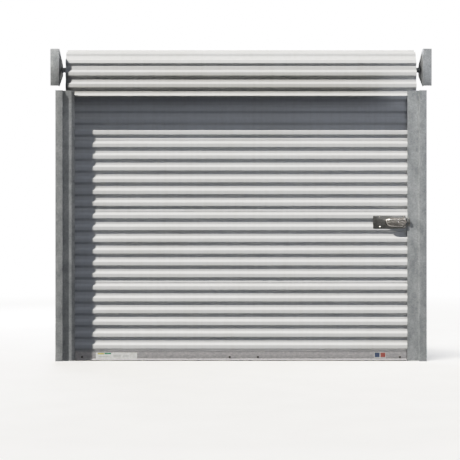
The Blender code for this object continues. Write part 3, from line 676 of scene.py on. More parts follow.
def add_bottom_angle():
    low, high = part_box("bottom_angle")
    t = 0.0030
    outline = [(low.y, low.z), (high.y, low.z), (high.y, low.z + t), (low.y + t, low.z + t)]
    outline += [(low.y + t, high.z), (low.y, high.z)]
    bm = extruded(filleted(outline, 0.0012, 4), "X", low.x, high.x)
    piece("bottom_angle_rolled", bm, galvanised_steel(), "curtain", ["bottom_angle"])


def add_bottom_seal():
    """A bulb on a flat bed, with two fine wiping ribs under it."""
    low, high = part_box("bottom_seal")
    middle = (low.y + high.y) / 2
    bed, depth, rib, steps = 0.0016, 0.0034, 0.0004, 24
    half = (high.y - low.y) / 2 - 0.0006
    outline = [(high.y, high.z), (low.y, high.z), (low.y, high.z - bed)]
    for i in range(steps + 1):
        angle = math.pi * (1 + i / steps)
        reach = depth - rib + rib * math.cos(i / steps * 6 * math.pi)
        outline.append((middle + half * math.cos(angle), low.z + depth + reach * math.sin(angle)))
    outline.append((high.y, high.z - bed))
    bm = extruded(outline, "X", low.x, high.x)
    piece("bottom_seal_bulb", bm, extruded_rubber(), "curtain", ["bottom_seal"])


# ---------------------------------------------------------------- fasteners


def hex_head(center, size):
    """Hexagon head with a chamfered, dished top on a round washer, standing inwards (+Y)."""
    x, y, z = center
    radius, height = size
    washer_radius = radius * WASHER_OVERSIZE
    corner, rim = 0.0012, 0.0003
    levels = (
        (washer_radius, 0.0, False),
        (washer_radius, WASHER_GAUGE - rim, False),
        (washer_radius - rim, WASHER_GAUGE, False),
        (radius, WASHER_GAUGE, True),
        (radius, height - corner, True),
        (radius * HEX_FLAT, height, False),
        (radius * 0.55, height, False),
        (radius * 0.50, height - rim, False),
    )
    rows = []
    for reach, along, six_sided in levels:
        row = []
        for k in range(24):
            angle = math.radians(15 * k)
            from_flat = math.radians((15 * k) % 60 - 30)
            size = reach * HEX_FLAT / math.cos(from_flat) if six_sided else reach
            row.append((x + size * math.cos(angle), y + along, z + size * math.sin(angle)))
        rows.append(row)
    return lofted(rows)


def domed_head(center, size, recess):
    """Round head that stands outwards (-Y), with a cross recess or a plain crown."""
    x, y, z = center
    radius, height = size
    levels = [(size, size, along) for size, along in DOME]
    if recess:
        levels += [(0.34, 0.14, 0.97), (0.27, 0.11, 0.45)]
    rows = []
    for on_arm, between_arms, along in levels:
        row = []
        for k in range(32):
            angle = 2 * math.pi * k / 32
            size = radius * (on_arm if k % 8 in (0, 1, 7) else between_arms)
            row.append((x + size * math.cos(angle), y - height * along, z + size * math.sin(angle)))
        rows.append(row)
    return lofted(rows)


def add_head(node, kind, size, material, body, recess=True):
    """A fastener head over its CAD node, seated on the side that faces its wall or plate."""
    low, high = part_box(node)
    middle = (low + high) / 2
    if kind == "hex":
        bm = hex_head((middle.x, low.y, middle.z), size)
    else:
        bm = domed_head((middle.x, high.y, middle.z), size, recess)
    piece(f"{node}_head", bm, material, body, [node], sharp=40)


def add_label(node, material, patches):
    """A thin film with rounded corners and a few plain colour patches on it, with no words or signs."""
    low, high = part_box(node)
    outline = filleted(rectangle(low.x, high.x, low.z, high.z), 0.004, 5)
    bm = extruded(outline, "Y", low.y, high.y)
    piece(f"{node}_film", bm, material, "curtain", [node])
    width, height = high.x - low.x, high.z - low.z
    ink_front, ink_back = low.y - 0.00012, low.y - 0.00002
    for number, (x0, x1, z0, z1, ink) in enumerate(patches, start=1):
        box = rectangle(low.x + x0 * width, low.x + x1 * width, low.z + z0 * height, low.z + z1 * height)
        bm = extruded(filleted(box, 0.002, 3), "Y", ink_front, ink_back)
        piece(f"{node}_patch_{number}", bm, ink, "curtain")


# ---------------------------------------------------------------- guides and head


def mirrored(outline, side):
    return [(side * a, b) for a, b in outline]


def side_name(side):
    return "left" if side < 0 else "right"


def add_guide(side):
    """The roll-formed guide with rounded bends, and the liner that the curtain's edge rubs on."""
    node = f"{side_name(side)}_guide"
    low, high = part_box(node)
    t = 0.0025
    lip, out = sorted((abs(low.x), abs(high.x)))
    web, front, back, turn = 1.4400, 0.0335, high.y, 0.0080
    outline = [(out, 0.0), (out, t), (web + t, t), (web + t, back), (lip, back), (lip, back - t - turn)]
    outline += [(lip + t, back - t - turn), (lip + t, back - t), (web, back - t), (web, front + t)]
    outline += [(lip + t, front + t), (lip + t, front + t + turn), (lip, front + t + turn), (lip, front)]
    outline += [(web, front), (web, 0.0)]
    bm = extruded(filleted(mirrored(outline, side), 0.0022, 4), "Z", low.z, high.z)
    piece(f"{node}_formed", bm, galvanised_steel(), "door_frame", [node])
    liner = f"{node}_liner"
    low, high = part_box(liner)
    near, far = sorted((abs(low.x), abs(high.x)))
    w = 0.0022
    section = [(near, low.y), (far, low.y), (far, high.y), (near, high.y), (near, high.y - w)]
    section += [(far - w, high.y - w), (far - w, low.y + w), (near, low.y + w)]
    bm = extruded(filleted(mirrored(section, side), 0.0012, 3), "Z", low.z, high.z)
    piece(f"{liner}_strip", bm, extruded_polyethylene(), "door_frame", [liner])


def weld_bead(corner, side, start, end):
    """A fillet weld run up an inner corner in overlapping ripples."""
    x, y = corner
    leg, ripple_length = 0.0052, 0.0050
    steps = int((end - start) / ripple_length * 4)
    rows = []
    for i in range(steps + 1):
        z = start + (end - start) * i / steps
        size = leg * (0.84 + 0.16 * abs(math.sin(math.pi * z / ripple_length)))
        row = [(x, y, z)]
        for k in range(7):
            angle = math.radians(15 * k)
            row.append((x + side * size * math.cos(angle) ** 1.5, y + size * math.sin(angle) ** 1.5, z))
        rows.append(row)
    return lofted(rows)


def add_bracket(side):
    """Axle plate with a round nose and its wall flange, edges broken, joined by a rippled weld."""
    node = f"{side_name(side)}_head_bracket"
    low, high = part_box(node)
    near, far = sorted((abs(low.x), abs(high.x)))
    gauge, shoulder, swing, corner, overrun = 0.0055, 0.0500, 62, 0.0060, 0.0100
    outline = [(0.0, low.z), (0.0, high.z), (shoulder, high.z)]
    outline += arc(AXLE, high.y - AXLE[0], swing, -swing, 28) + [(shoulder, low.z)]
    bm = extruded(outline, "X", side * near, side * (near + gauge))
    plate = piece(f"{node}_plate", bm, galvanised_steel(), "door_frame", [node])
    flange = [(near + gauge / 5, high.z), (near + gauge / 5, low.z)]
    flange += arc((far - corner, low.z + corner), corner, -90, 0, 6)
    flange += arc((far - corner, high.z - corner), corner, 0, 90, 6)
    carve(plate, extruded(mirrored(flange, side), "Y", 0.0, gauge), "UNION")
    bore = arc(AXLE, AXLE_RADIUS + 2 * GAP, 0, 354, 59)
    carve(plate, extruded(bore, "X", side * (near - overrun), side * (near + gauge + overrun)))
    soften(plate, 0.0008)
    inset = 0.0120
    bead = weld_bead((side * (near + gauge), gauge), side, low.z + inset, high.z - inset)
    piece(f"{node}_weld", bead, zinc_plate(), "door_frame")


def add_collar(side):
    """Split clamp collar with a slit, and the socket screw that closes it."""
    node = f"{side_name(side)}_axle_collar"
    low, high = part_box(node)
    radius = (high.z - low.z) / 2
    inner = AXLE_RADIUS + GAP
    slit = 4.0
    inner_slit = slit * 1.6
    outline = arc(AXLE, radius, 90 + slit, 450 - slit, 60)
    outline += arc(AXLE, inner, 450 - inner_slit, 90 + inner_slit, 60)
    bm = extruded(outline, "X", low.x, high.x)
    soften(piece(f"{node}_clamp", bm, zinc_plate(), "door_frame", [node]), 0.0009)
    shank, cap, rim, length = 0.0022, 0.0052, 0.0006, 0.0076
    profile = [(0.0, shank), (0.0, cap - rim), (rim, cap), (length - rim, cap), (length, cap - rim)]
    profile += [(length, shank + 0.0004), (0.0040, shank)]
    place = ((low.x + high.x) / 2, AXLE[0] + 0.0065, AXLE[1] + radius - length)
    piece(f"{node}_screw", turned(profile, "Y", 24, place), zinc_plate(), "door_frame")


def add_axle():
    low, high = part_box("axle")
    half = (high.x - low.x) / 2
    bm = turned(ring(half, 0.0175, AXLE_RADIUS, 0.0008), "X", 64, (0.0, *AXLE))
    piece("axle_pipe", bm, galvanised_steel(), "door_frame", ["axle"])


# ---------------------------------------------------------------- drum


def wheel_mesh():
    """A moulded wheel: rim with a lip, web with round windows and ribs between them, hub."""
    rim, hub, bore, half = 0.1295, 0.0350, 0.0248, 0.0500
    profile = [(-0.0280, bore), (-0.0280, hub - 0.0015), (-0.0265, hub), (-0.0045, hub + 0.0030)]
    profile += [(-0.0030, hub + 0.0045), (-0.0030, rim - 0.0165), (-0.0050, rim - 0.0130)]
    profile += [(-0.0185, rim - 0.0120), (-0.0200, rim - 0.0105), (-0.0200, rim - 0.0010), (-0.0190, rim)]
    profile += [(-a, b) for a, b in reversed(profile)]
    wheel = solid("wheel_master", turned(profile, "X", 120, (0, 0, 0)), glass_filled_nylon())
    for window in range(WHEEL_WINDOWS):
        angle = 2 * math.pi * window / WHEEL_WINDOWS
        center = (WINDOW_CIRCLE * math.cos(angle), WINDOW_CIRCLE * math.sin(angle))
        carve(wheel, extruded(arc(center, WINDOW_RADIUS, 3, 351, 29), "X", -half, half))
    bm = bmesh.new()
    bm.from_mesh(wheel.data)
    bpy.data.objects.remove(wheel)
    outline = [(0.0400, -0.0022), (0.1160, -0.0016), (0.1160, 0.0016), (0.0400, 0.0022)]
    for k in range(WHEEL_WINDOWS):
        angle = 2 * math.pi * (k + 0.5) / WHEEL_WINDOWS
        for sign in (-1, 1):
            rib = extruded(outline, "X", sign * 0.0029, sign * 0.0130)
            bmesh.ops.rotate(rib, verts=rib.verts, cent=(0, 0, 0), matrix=Matrix.Rotation(angle, 3, "X"))
            join(bm, rib)
    return bm


def add_wheels():
    master = wheel_mesh()
    for number in range(1, 5):
        node = f"drum_wheel_{number}"
        low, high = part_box(node)
        bm = master.copy()
        bmesh.ops.translate(bm, vec=((low.x + high.x) / 2, *AXLE), verts=bm.verts)
        piece(f"{node}_moulding", bm, glass_filled_nylon(), "drum", [node])
        bearing = f"wheel_bearing_{number}"
        bm = turned(ring(0.0280, AXLE_RADIUS + GAP, 0.0245, 0.0006), "X", 64, ((low.x + high.x) / 2, *AXLE))
        piece(f"{bearing}_sleeve", bm, extruded_polyethylene(), "drum", [bearing])
    master.free()


def add_spring(side):
    """Close-wound spring of round wire, coiled round the axle."""
    node = f"{side_name(side)}_torsion_spring"
    low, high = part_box(node)
    wire, radius, daylight = 0.0030, 0.0340, 0.0008
    inner, outer = sorted((abs(low.x), abs(high.x)))
    length = outer - inner - 2 * wire
    turns = int(length / (2 * wire + daylight))
    per_turn = 18
    points = []
    for i in range(turns * per_turn + 1):
        angle = 2 * math.pi * i / per_turn
        x = side * (outer - wire - length * i / (turns * per_turn))
        points.append((x, AXLE[0] + radius * math.cos(angle), AXLE[1] + side * radius * math.sin(angle)))
    curve = bpy.data.curves.new(f"{node}_coil", "CURVE")
    curve.dimensions = "3D"
    curve.bevel_depth = wire
    curve.bevel_resolution = 2
    curve.use_fill_caps = True
    spline = curve.splines.new("POLY")
    spline.points.add(len(points) - 1)
    for point, place in zip(spline.points, points):
        point.co = (*place, 1.0)
    curve.materials.append(oil_tempered_wire())
    obj = bpy.data.objects.new(curve.name, curve)
    bpy.context.scene.collection.objects.link(obj)
    settle(obj, "drum", [node])


def add_anchor(side):
    """Cast anchor with a tapered nose, a flange and two set screws."""
    node = f"{side_name(side)}_spring_anchor"
    low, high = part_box(node)
    x = (low.x + high.x) / 2
    profile = [(-0.0150, AXLE_RADIUS + GAP), (-0.0150, 0.0290), (-0.0142, 0.0300)]
    profile += [(-0.0060, 0.0310), (-0.0050, 0.0390), (-0.0040, 0.0400)]
    profile += [(-along, radius) for along, radius in reversed(profile)]
    bm = turned(profile, "X", 64, (x, *AXLE))
    piece(f"{node}_casting", bm, zinc_plate(), "door_frame", [node])
    for number, sign in enumerate((-1, 1), start=1):
        head = hex_head((0, 0, 0), SET_SCREW_HEAD)
        bmesh.ops.rotate(head, verts=head.verts, cent=(0, 0, 0), matrix=Matrix.Rotation(math.pi / 2, 3, "X"))
        bmesh.ops.translate(head, vec=(x + sign * 0.0100, AXLE[0], AXLE[1] + 0.0303), verts=head.verts)
        piece(f"{node}_set_screw_{number}", head, zinc_plate(), "door_frame")


# ---------------------------------------------------------------- latch


def add_backplate():
    """Flat plate with round corners and broken edges."""
    low, high = PLATE_LOW, PLATE_HIGH
    outline = filleted(rectangle(low.x, high.x, low.z, high.z), 0.006, 6)
    bm = extruded(outline, "Y", high.y, low.y, 0.0004)
    steel = brushed_stainless()
    piece("latch_backplate_pressed", bm, steel, "latch_carrier", ["latch_backplate"])


def add_rivets():
    for number in range(1, 5):
        node, steel = f"latch_rivet_{number}", polished_stainless()
        add_head(node, "dome", RIVET_HEAD, steel, "latch_carrier", recess=False)


def wave(x, z):
    """Depth of the long, low waves that the press left in the housing's face, from 0 to 1."""
    bend = 1.3 * math.sin(2 * math.pi * x / 0.0830 + 0.8)
    across = math.sin(2 * math.pi * (z - LATCH_Z) / 0.0210 + bend + 0.5)
    return 0.5 + 0.5 * across * (0.62 + 0.38 * math.sin(2 * math.pi * x / 0.0470 + 2.4))


def housing_section(low, high, inset, width, rise):
    """One (y, z) section of the housing: a channel with round shoulders, narrower and lower in the nose."""
    half = (high.z - low.z) / 2 * width - inset
    front = high.y - (high.y - low.y) * rise + inset
    corner = min(HOUSING_SHOULDER - inset, (high.y - front) * 0.94, half * 0.94)
    flat = half - corner
    points = [(high.y, LATCH_Z + half)]
    points += arc((front + corner, LATCH_Z + flat), corner, 90, 180, 8)
    points += [(front, LATCH_Z + flat - 2 * flat * i / 22) for i in range(1, 22)]
    points += arc((front + corner, LATCH_Z - flat), corner, 180, 270, 8)
    points.append((high.y, LATCH_Z - half))
    return points


def ellipse(share):
    """Height of a quarter ellipse, from 0 at its start to 1 at its crown."""
    return math.sqrt(1.0 - (1.0 - min(share, 1.0)) ** 2)


def add_housing():
    """Pressed cover: a rounded nose that rises from the plate, a wavy face with a slot, the jamb end open."""
    low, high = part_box("latch_housing")
    gauge, nose, climb, wave_depth, fade = 0.0014, 0.0640, 0.0340, 0.0017, 0.0100
    length = high.x - low.x
    stations = [nose * (1 - math.cos(math.radians(6 * i))) for i in range(1, 16)]
    stations += [nose + (length - nose) * i / 36 for i in range(1, 37)]
    shells = []
    bm = bmesh.new()
    for inset in (0.0, gauge):
        rows = []
        for along in stations:
            x = low.x + inset + along * (length - inset) / length
            row = []
            for y, z in housing_section(low, high, inset, ellipse(along / nose), ellipse(along / climb)):
                apart = max(SLOT[0] - x, x - SLOT[1], SLOT[2] - z, z - SLOT[3], 0.0)
                room = min((high.y - y) / 0.02, (high.x - x) / 0.02, apart / fade, 1.0)
                row.append(bm.verts.new((x, y + wave_depth * wave(x, z) * max(room, 0.0), z)))
            rows.append(row)
        shells.append(rows)
        for near, far in zip(rows, rows[1:]):
            for i in range(len(near) - 1):
                bm.faces.new((near[i], near[i + 1], far[i + 1], far[i]))
        bm.faces.new(rows[0])
    outer, inner = shells
    for near_out, far_out, near_in, far_in in zip(outer, outer[1:], inner, inner[1:]):
        for i in (0, -1):
            bm.faces.new((near_out[i], far_out[i], far_in[i], near_in[i]))
    bm.faces.new((outer[0][0], outer[0][-1], inner[0][-1], inner[0][0]))
    for i in range(len(outer[-1]) - 1):
        bm.faces.new((outer[-1][i], outer[-1][i + 1], inner[-1][i + 1], inner[-1][i]))
    steel = polished_stainless()
    housing = piece("latch_housing_pressed", bm, steel, "latch_carrier", ["latch_housing"])
    carve(housing, extruded(filleted(rectangle(*SLOT), 0.0060, 6), "Y", low.y - 0.0040, low.y + 0.0060))


def add_rail():
    low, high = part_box("latch_rail")
    half, wall, bed = 0.0103, 0.0125, 0.0308
    corners = [(high.y, -wall), (high.y, wall), (low.y, wall), (low.y, half), (bed, half), (bed, -half)]
    corners += [(low.y, -half), (low.y, -wall)]
    bm = extruded(filleted([(y, LATCH_Z + z) for y, z in corners], 0.0008, 3), "X", low.x, high.x)
    piece("latch_rail_channel", bm, zinc_plate(), "latch_carrier", ["latch_rail"])


def add_slide_bolt():
    """Square bolt with a bevelled nose and a thumb tab with three grip ridges."""
    low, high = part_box("latch_slide_bolt")
    front, back, half = 0.0185, 0.0305, 0.0100
    tab_left, tab_right, tab_half, ridge_half = 1.2150, 1.2350, 0.0075, 0.0060
    section = filleted(rectangle(front, back, LATCH_Z - half, LATCH_Z + half), 0.0018, 4)
    bm = extruded(section, "X", low.x, high.x, 0.0016)
    tab = filleted(rectangle(tab_left, tab_right, LATCH_Z - tab_half, LATCH_Z + tab_half), 0.0030, 5)
    join(bm, extruded(tab, "Y", low.y + 0.0008, front + 0.0010, 0.0010))
    for k in (1, 2, 3):
        x = tab_left + 0.0050 * k
        ridge = rectangle(x - 0.001, x + 0.001, LATCH_Z - ridge_half, LATCH_Z + ridge_half)
        join(bm, extruded(filleted(ridge, 0.0009, 3), "Y", low.y, low.y + 0.0020, 0.0003))
    steel = polished_stainless()
    piece("latch_slide_bolt_milled", bm, steel, "latch_bolt", ["latch_slide_bolt"])


def add_keeper():
    low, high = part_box("latch_keeper")
    seat, t = 0.0332, 0.0020
    arch, crown, half = 0.0115, 0.0170, 0.0340
    inside = [(seat, -half), (seat, -arch), (crown, -arch), (crown, arch), (seat, arch), (seat, half)]
    outside = [(seat - t, half), (seat - t, arch + t), (crown - t, arch + t)]
    outside += [(y, -z) for y, z in reversed(outside)]
    outline = filleted([(y, LATCH_Z + z) for y, z in inside + outside], 0.0018, 5)
    bm = extruded(outline, "X", low.x, high.x)
    piece("latch_keeper_bent", bm, brushed_stainless(), "door_frame", ["latch_keeper"])
    for number in (1, 2):
        node = f"keeper_screw_{number}"
        add_head(node, "dome", KEEPER_SCREW_HEAD, zinc_plate(), "door_frame")


# ---------------------------------------------------------------- stage


def stage_plane(name, corners, material):
    mesh = bpy.data.meshes.new(name)
    mesh.from_pydata(corners, [], [tuple(range(len(corners)))])
    mesh.materials.append(material)
    obj = bpy.data.objects.new(name, mesh)
    bpy.context.scene.collection.objects.link(obj)
    return obj


def add_floor():
    """Plain pale studio floor that fades into the background a few metres off."""
    made, tree, shader, place = surface("studio_floor", 0.0, 0.85)
    _, tone = mottled(tree, place, (400, 400, 400), ((0.3, "F2F2F1"), (0.7, "F5F5F4")), 3, 0.5)
    feed(tree, shader, {"Base Color": (tone, "Color")})
    distance = add_node(tree, "VectorMath", {"operation": "LENGTH"}, {0: (place, "Object")})
    fade = add_node(tree, "MapRange", {"From Min": 4.0, "From Max": 11.0}, {"Value": (distance, "Value")})
    haze = add_node(tree, "Emission", {"Color": linear("FFFFFF"), "Strength": BACKGROUND})
    mix = add_node(tree, "MixShader", {}, {0: (fade, "Result"), 1: (shader, "BSDF"), 2: (haze, "Emission")})
    tree.links.new(mix.outputs["Shader"], tree.nodes["Material Output"].inputs["Surface"])
    floor = stage_plane("floor", [(-60, -60, 0), (60, -60, 0), (60, 60, 0), (-60, 60, 0)], made)
    floor.visible_diffuse = False
    floor.visible_glossy = False


def add_shade():
    """Unseen strips before the opening that throw a wall edge's shadow on the curtain's top and left side."""
    made, _, shader, _ = surface("shade_cloth", 0.0, 0.9)
    shader.inputs["Base Color"].default_value = linear("1B1C1F")
    reach = CURTAIN_Y - DEPTH / 2 + SHADE_AHEAD
    drift, _, drop = (reach * share for share in KEY_DIRECTION)
    for name, (left, right, low, high) in SHADOWS.items():
        places = ((left, low), (right, low), (right, high), (left, high))
        screen = stage_plane(name, [(x - drift, -SHADE_AHEAD, z - drop) for x, z in places], made)
        screen.visible_camera = False
        screen.visible_glossy = False
        screen.visible_transmission = False


def add_lights():
    """Key light from the upper left, weaker fills beside and behind, and a light of the floor's own."""
    settings = bpy.context.scene.roll_up_door
    screens = stage_set("shade_screens", ("shade_top", "shade_left"))
    ground = stage_set("ground", ("floor",))
    for name, strength, angle, unlit, unshaded in (
        ("key", settings.key_strength, 1.5, ground, None),
        ("floor_light", 4.6, 24.0, None, screens),
    ):
        sun = bpy.data.lights.new(name, "SUN")
        sun.energy = strength
        sun.angle = math.radians(angle)
        sun.color = linear("FFFBF4")[:3]
        lamp = bpy.data.objects.new(name, sun)
        aim(lamp, np.array(KEY_DIRECTION if unlit else FLOOR_LIGHT_DIRECTION))
        bpy.context.scene.collection.objects.link(lamp)
        if unlit:
            lamp.light_linking.receiver_collection = unlit
        else:
            lamp.light_linking.receiver_collection = ground_only(ground)
            lamp.light_linking.blocker_collection = unshaded
    for name, place, target, size, power, tint in (
        ("fill", (4.2, -5.0, 2.4), (0.4, 0, 1.2), 3.0, 34.0, "EEF3FF"),
        ("softbox", (0.6, -4.6, 4.6), (0.6, 0, 1.0), 2.4, 22.0, "F4F7FF"),
        ("back_fill", (-3.0, 6.5, 4.2), (0, 0, 1.4), 4.0, 330.0, "F2F5FF"),
        ("side_fill", (6.5, 1.6, 2.8), (1.4, 0.1, 1.3), 3.0, 150.0, "F6F8FF"),
    ):
        light = bpy.data.lights.new(name, "AREA")
        light.size = size
        light.energy = power
        light.color = linear(tint)[:3]
        obj = bpy.data.objects.new(name, light)
        obj.location = place
        aim(obj, np.array(target) - np.array(place))
        bpy.context.scene.collection.objects.link(obj)


def stage_set(name, members):
    """A light-linking set that leaves some stage objects out and keeps everything else in."""
    made = bpy.data.collections.new(name)
    for member in members:
        made.objects.link(bpy.data.objects[member])
    for item in made.collection_objects:
        item.light_linking.link_state = "EXCLUDE"
    return made


def ground_only(ground):
    """A light-linking set with the floor alone."""
    made = bpy.data.collections.new("ground_only")
    for member in ground.objects:
        made.objects.link(member)
    return made


def aim(obj, direction):
    """Turns an object so that it looks along a direction."""
    x, y, z = direction / np.linalg.norm(direction)
    obj.rotation_euler = (math.acos(-z), 0.0, math.atan2(y, x) - math.pi / 2)


def add_world():
    """White to the camera; a cool soft sky as light; a neutral sky over a darker ground in reflections."""
    settings = bpy.context.scene.roll_up_door
    world = bpy.data.worlds.new("studio")
    bpy.context.scene.world = world
    world.use_nodes = True
    tree = world.node_tree
    tree.nodes.clear()
    place = add_node(tree, "TexCoord", {})
    height = add_node(tree, "SeparateXYZ", {}, {0: (place, "Generated")})
    skies = []
    for hex_code, strength, (start, end, dark, light) in (
        ("C2D0E9", settings.sky_strength, (-0.25, 0.75, 0.35, 1.65)),
        ("E9E6E3", settings.reflection_strength, (-0.22, 0.16, 0.45, 1.30)),
    ):
        span = {"From Min": start, "From Max": end, "To Min": dark * strength, "To Max": light * strength}
        level = add_node(tree, "MapRange", span, {"Value": (height, "Z")})
        sky = add_node(tree, "Background", {"Color": linear(hex_code)}, {"Strength": (level, "Result")})
        skies.append(sky)
    white = add_node(tree, "Background", {"Color": linear("FFFFFF"), "Strength": BACKGROUND})
    path = add_node(tree, "LightPath", {})
    glossy = add_node(tree, "MixShader", {}, {0: (path, "Is Glossy Ray"), 1: (skies[0], 0), 2: (skies[1], 0)})
    seen = add_node(tree, "MixShader", {}, {0: (path, "Is Camera Ray"), 1: (glossy, 0), 2: (white, 0)})
    add_node(tree, "OutputWorld", {}, {"Surface": (seen, "Shader")})
    roll_off_highlights()


def roll_off_highlights():
    """Plain colour up to the tone of the lit sheet, and a film-like shoulder above it."""
    view = bpy.context.scene.view_settings
    view.view_transform = "Standard"
    view.use_curve_mapping = True
    mapping = view.curve_mapping
    mapping.white_level = (BACKGROUND, BACKGROUND, BACKGROUND)
    mapping.clip_max_x = 1.0
    mapping.clip_max_y = 1.0
    curve = mapping.curves[3]
    for place, value in SHOULDER:
        curve.points.new(place / BACKGROUND, value)
    mapping.update()


def add_camera():
    """Long lens, square on to the opening and level."""
    camera = bpy.data.cameras.new("camera")
    camera.lens = 100
    camera.sensor_width = 36
    camera.clip_end = 200
    obj = bpy.data.objects.new("camera", camera)
    view_width, left_of_middle, eye_height, sharp_y = 3.731, 0.089, 1.0605, 0.050
    distance = view_width * camera.lens / camera.sensor_width
    obj.location = (-left_of_middle, sharp_y - distance, eye_height)
    obj.rotation_euler = (math.pi / 2, 0.0, 0.0)
    bpy.context.scene.collection.objects.link(obj)
    bpy.context.scene.camera = obj


# ---------------------------------------------------------------- add-on


class RollUpDoorSettings(bpy.types.PropertyGroup):
    """Sizes, colours and light levels of the door."""

    paint_colour: bpy.props.FloatVectorProperty(
        name="Paint",
        description="Colour of the curtain's coating",
        default=linear("DDDEDE")[:3],
        subtype="COLOR",
        min=0,
        max=1,
    )
    bend_radius: bpy.props.FloatProperty(
        name="Bend radius",
        description="Radius of the ribs' bends",
        default=0.0065,
        min=0.001,
        max=0.009,
        unit="LENGTH",
    )
    unevenness: bpy.props.FloatProperty(
        name="Unevenness",
        description="How far the long sheets wave",
        default=0.00012,
        min=0.0,
        max=0.002,
        unit="LENGTH",
    )
    key_strength: bpy.props.FloatProperty(
        name="Key light", description="Strength of the key light", default=6.0, min=0.0, max=20.0
    )
    sky_strength: bpy.props.FloatProperty(
        name="Sky", description="Strength of the ambient light", default=0.117, min=0.0, max=5.0
    )
    reflection_strength: bpy.props.FloatProperty(
        name="Reflections",
        description="Strength of the sky that metals mirror",
        default=0.44,
        min=0.0,
        max=5.0,
    )


class StageOperator(bpy.types.Operator):
    """Adds the floor, lights, shading screens and camera"""

    bl_idname = "roll_up_door.stage"
    bl_label = "Stage"

    def execute(self, context):
        add_camera()
        add_world()
        add_floor()
        add_shade()
        add_lights()
        return {"FINISHED"}


class CurtainOperator(bpy.types.Operator):
    """Adds the four hanging sheets of the curtain"""

    bl_idname = "roll_up_door.curtain"
    bl_label = "Curtain Sheets"

    def execute(self, context):
        for number in range(SHEETS):
            add_sheet(number)
        return {"FINISHED"}


class RollOperator(bpy.types.Operator):
    """Adds the turn of curtain wound on the drum"""

    bl_idname = "roll_up_door.roll"
    bl_label = "Wound Curtain"

    def execute(self, context):
        add_roll()
        return {"FINISHED"}


class BottomBarOperator(bpy.types.Operator):
    """Adds the bottom bar, its stiffening angle and its seal"""

    bl_idname = "roll_up_door.bottom_bar"
    bl_label = "Bottom Bar"

    def execute(self, context):
        add_bottom_bar()
        add_bottom_angle()
        add_bottom_seal()
        return {"FINISHED"}


class BarFittingsOperator(bpy.types.Operator):
    """Adds the bar's screw heads and its two blank labels"""

    bl_idname = "roll_up_door.bar_fittings"
    bl_label = "Bar Fittings"

    def execute(self, context):
        for number in range(1, 5):
            add_head(f"bar_screw_{number}", "dome", BAR_SCREW_HEAD, weathered_zinc(), "curtain")
        white = cast_vinyl("white_vinyl", "E9EAE8")
        green = cast_vinyl("green_vinyl", "3F8F6B")
        yellow = cast_vinyl("yellow_vinyl", "C9C46A")
        slate = cast_vinyl("slate_vinyl", "4A5672")
        brick = cast_vinyl("brick_vinyl", "A0574F")
        pale = cast_vinyl("pale_vinyl", "CFD1CF")
        patches = [(0.04, 0.20, 0.70, 0.92, yellow), (0.21, 0.37, 0.74, 0.94, green)]
        patches += [(0.06, 0.34, 0.30, 0.44, pale), (0.42, 0.60, 0.34, 0.66, pale)]
        patches += [(0.66, 0.80, 0.30, 0.62, pale)]
        add_label("care_label", white, patches)
        add_label("origin_label", pale, [(0.06, 0.46, 0.12, 0.88, slate), (0.54, 0.94, 0.12, 0.88, brick)])
        return {"FINISHED"}


class GuidesOperator(bpy.types.Operator):
    """Adds both guides and their liners"""

    bl_idname = "roll_up_door.guides"
    bl_label = "Guides"

    def execute(self, context):
        for side in (-1, 1):
            add_guide(side)
        return {"FINISHED"}


class WallBoltsOperator(bpy.types.Operator):
    """Adds the bolts of the guides and brackets"""

    bl_idname = "roll_up_door.wall_bolts"
    bl_label = "Wall Bolts"

    def execute(self, context):
        for side in ("left", "right"):
            for kind, size, count in (("guide", GUIDE_BOLT_HEAD, 3), ("bracket", BRACKET_BOLT_HEAD, 2)):
                for number in range(1, count + 1):
                    node = f"{side}_{kind}_bolt_{number}"
                    add_head(node, "hex", size, zinc_plate(), "door_frame")
        return {"FINISHED"}


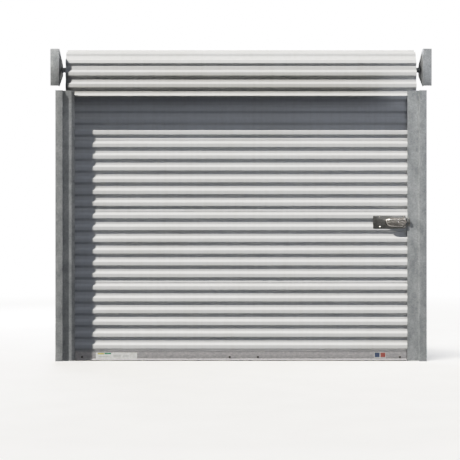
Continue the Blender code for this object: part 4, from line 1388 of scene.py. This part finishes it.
class HeadOperator(bpy.types.Operator):
    """Adds the head brackets, the axle pipe and its collars"""

    bl_idname = "roll_up_door.head"
    bl_label = "Head Gear"

    def execute(self, context):
        add_axle()
        for side in (-1, 1):
            add_bracket(side)
            add_collar(side)
        return {"FINISHED"}


class DrumOperator(bpy.types.Operator):
    """Adds the drum wheels, bearings, springs and spring anchors"""

    bl_idname = "roll_up_door.drum"
    bl_label = "Drum"

    def execute(self, context):
        add_wheels()
        for side in (-1, 1):
            add_spring(side)
            add_anchor(side)
        return {"FINISHED"}


class LatchOperator(bpy.types.Operator):
    """Adds the slide latch and its keeper"""

    bl_idname = "roll_up_door.latch"
    bl_label = "Slide Latch"

    def execute(self, context):
        add_backplate()
        add_rivets()
        add_housing()
        add_rail()
        add_slide_bolt()
        add_keeper()
        return {"FINISHED"}


OPERATORS = (
    StageOperator,
    CurtainOperator,
    RollOperator,
    BottomBarOperator,
    BarFittingsOperator,
    GuidesOperator,
    WallBoltsOperator,
    HeadOperator,
    DrumOperator,
    LatchOperator,
)


class RollUpDoorPanel(bpy.types.Panel):
    """Lists the door's settings and its parts"""

    bl_idname = "VIEW3D_PT_roll_up_door"
    bl_label = "Roll-up Door"
    bl_space_type = "VIEW_3D"
    bl_region_type = "UI"
    bl_category = "Roll-up Door"

    def draw(self, context):
        settings = context.scene.roll_up_door
        for name in settings.bl_rna.properties.keys():
            if name in ("rna_type", "name"):
                continue
            self.layout.prop(settings, name)
        for operator in OPERATORS:
            self.layout.operator(operator.bl_idname)


CLASSES = (RollUpDoorSettings, *OPERATORS, RollUpDoorPanel)


def register():
    for cls in CLASSES:
        bpy.utils.register_class(cls)
    bpy.types.Scene.roll_up_door = bpy.props.PointerProperty(type=RollUpDoorSettings)


def unregister():
    del bpy.types.Scene.roll_up_door
    for cls in reversed(CLASSES):
        bpy.utils.unregister_class(cls)


def main():
    register()
    for operator in OPERATORS:
        group, name = operator.bl_idname.split(".")
        getattr(getattr(bpy.ops, group), name)()


if __name__ == "__main__":
    main()
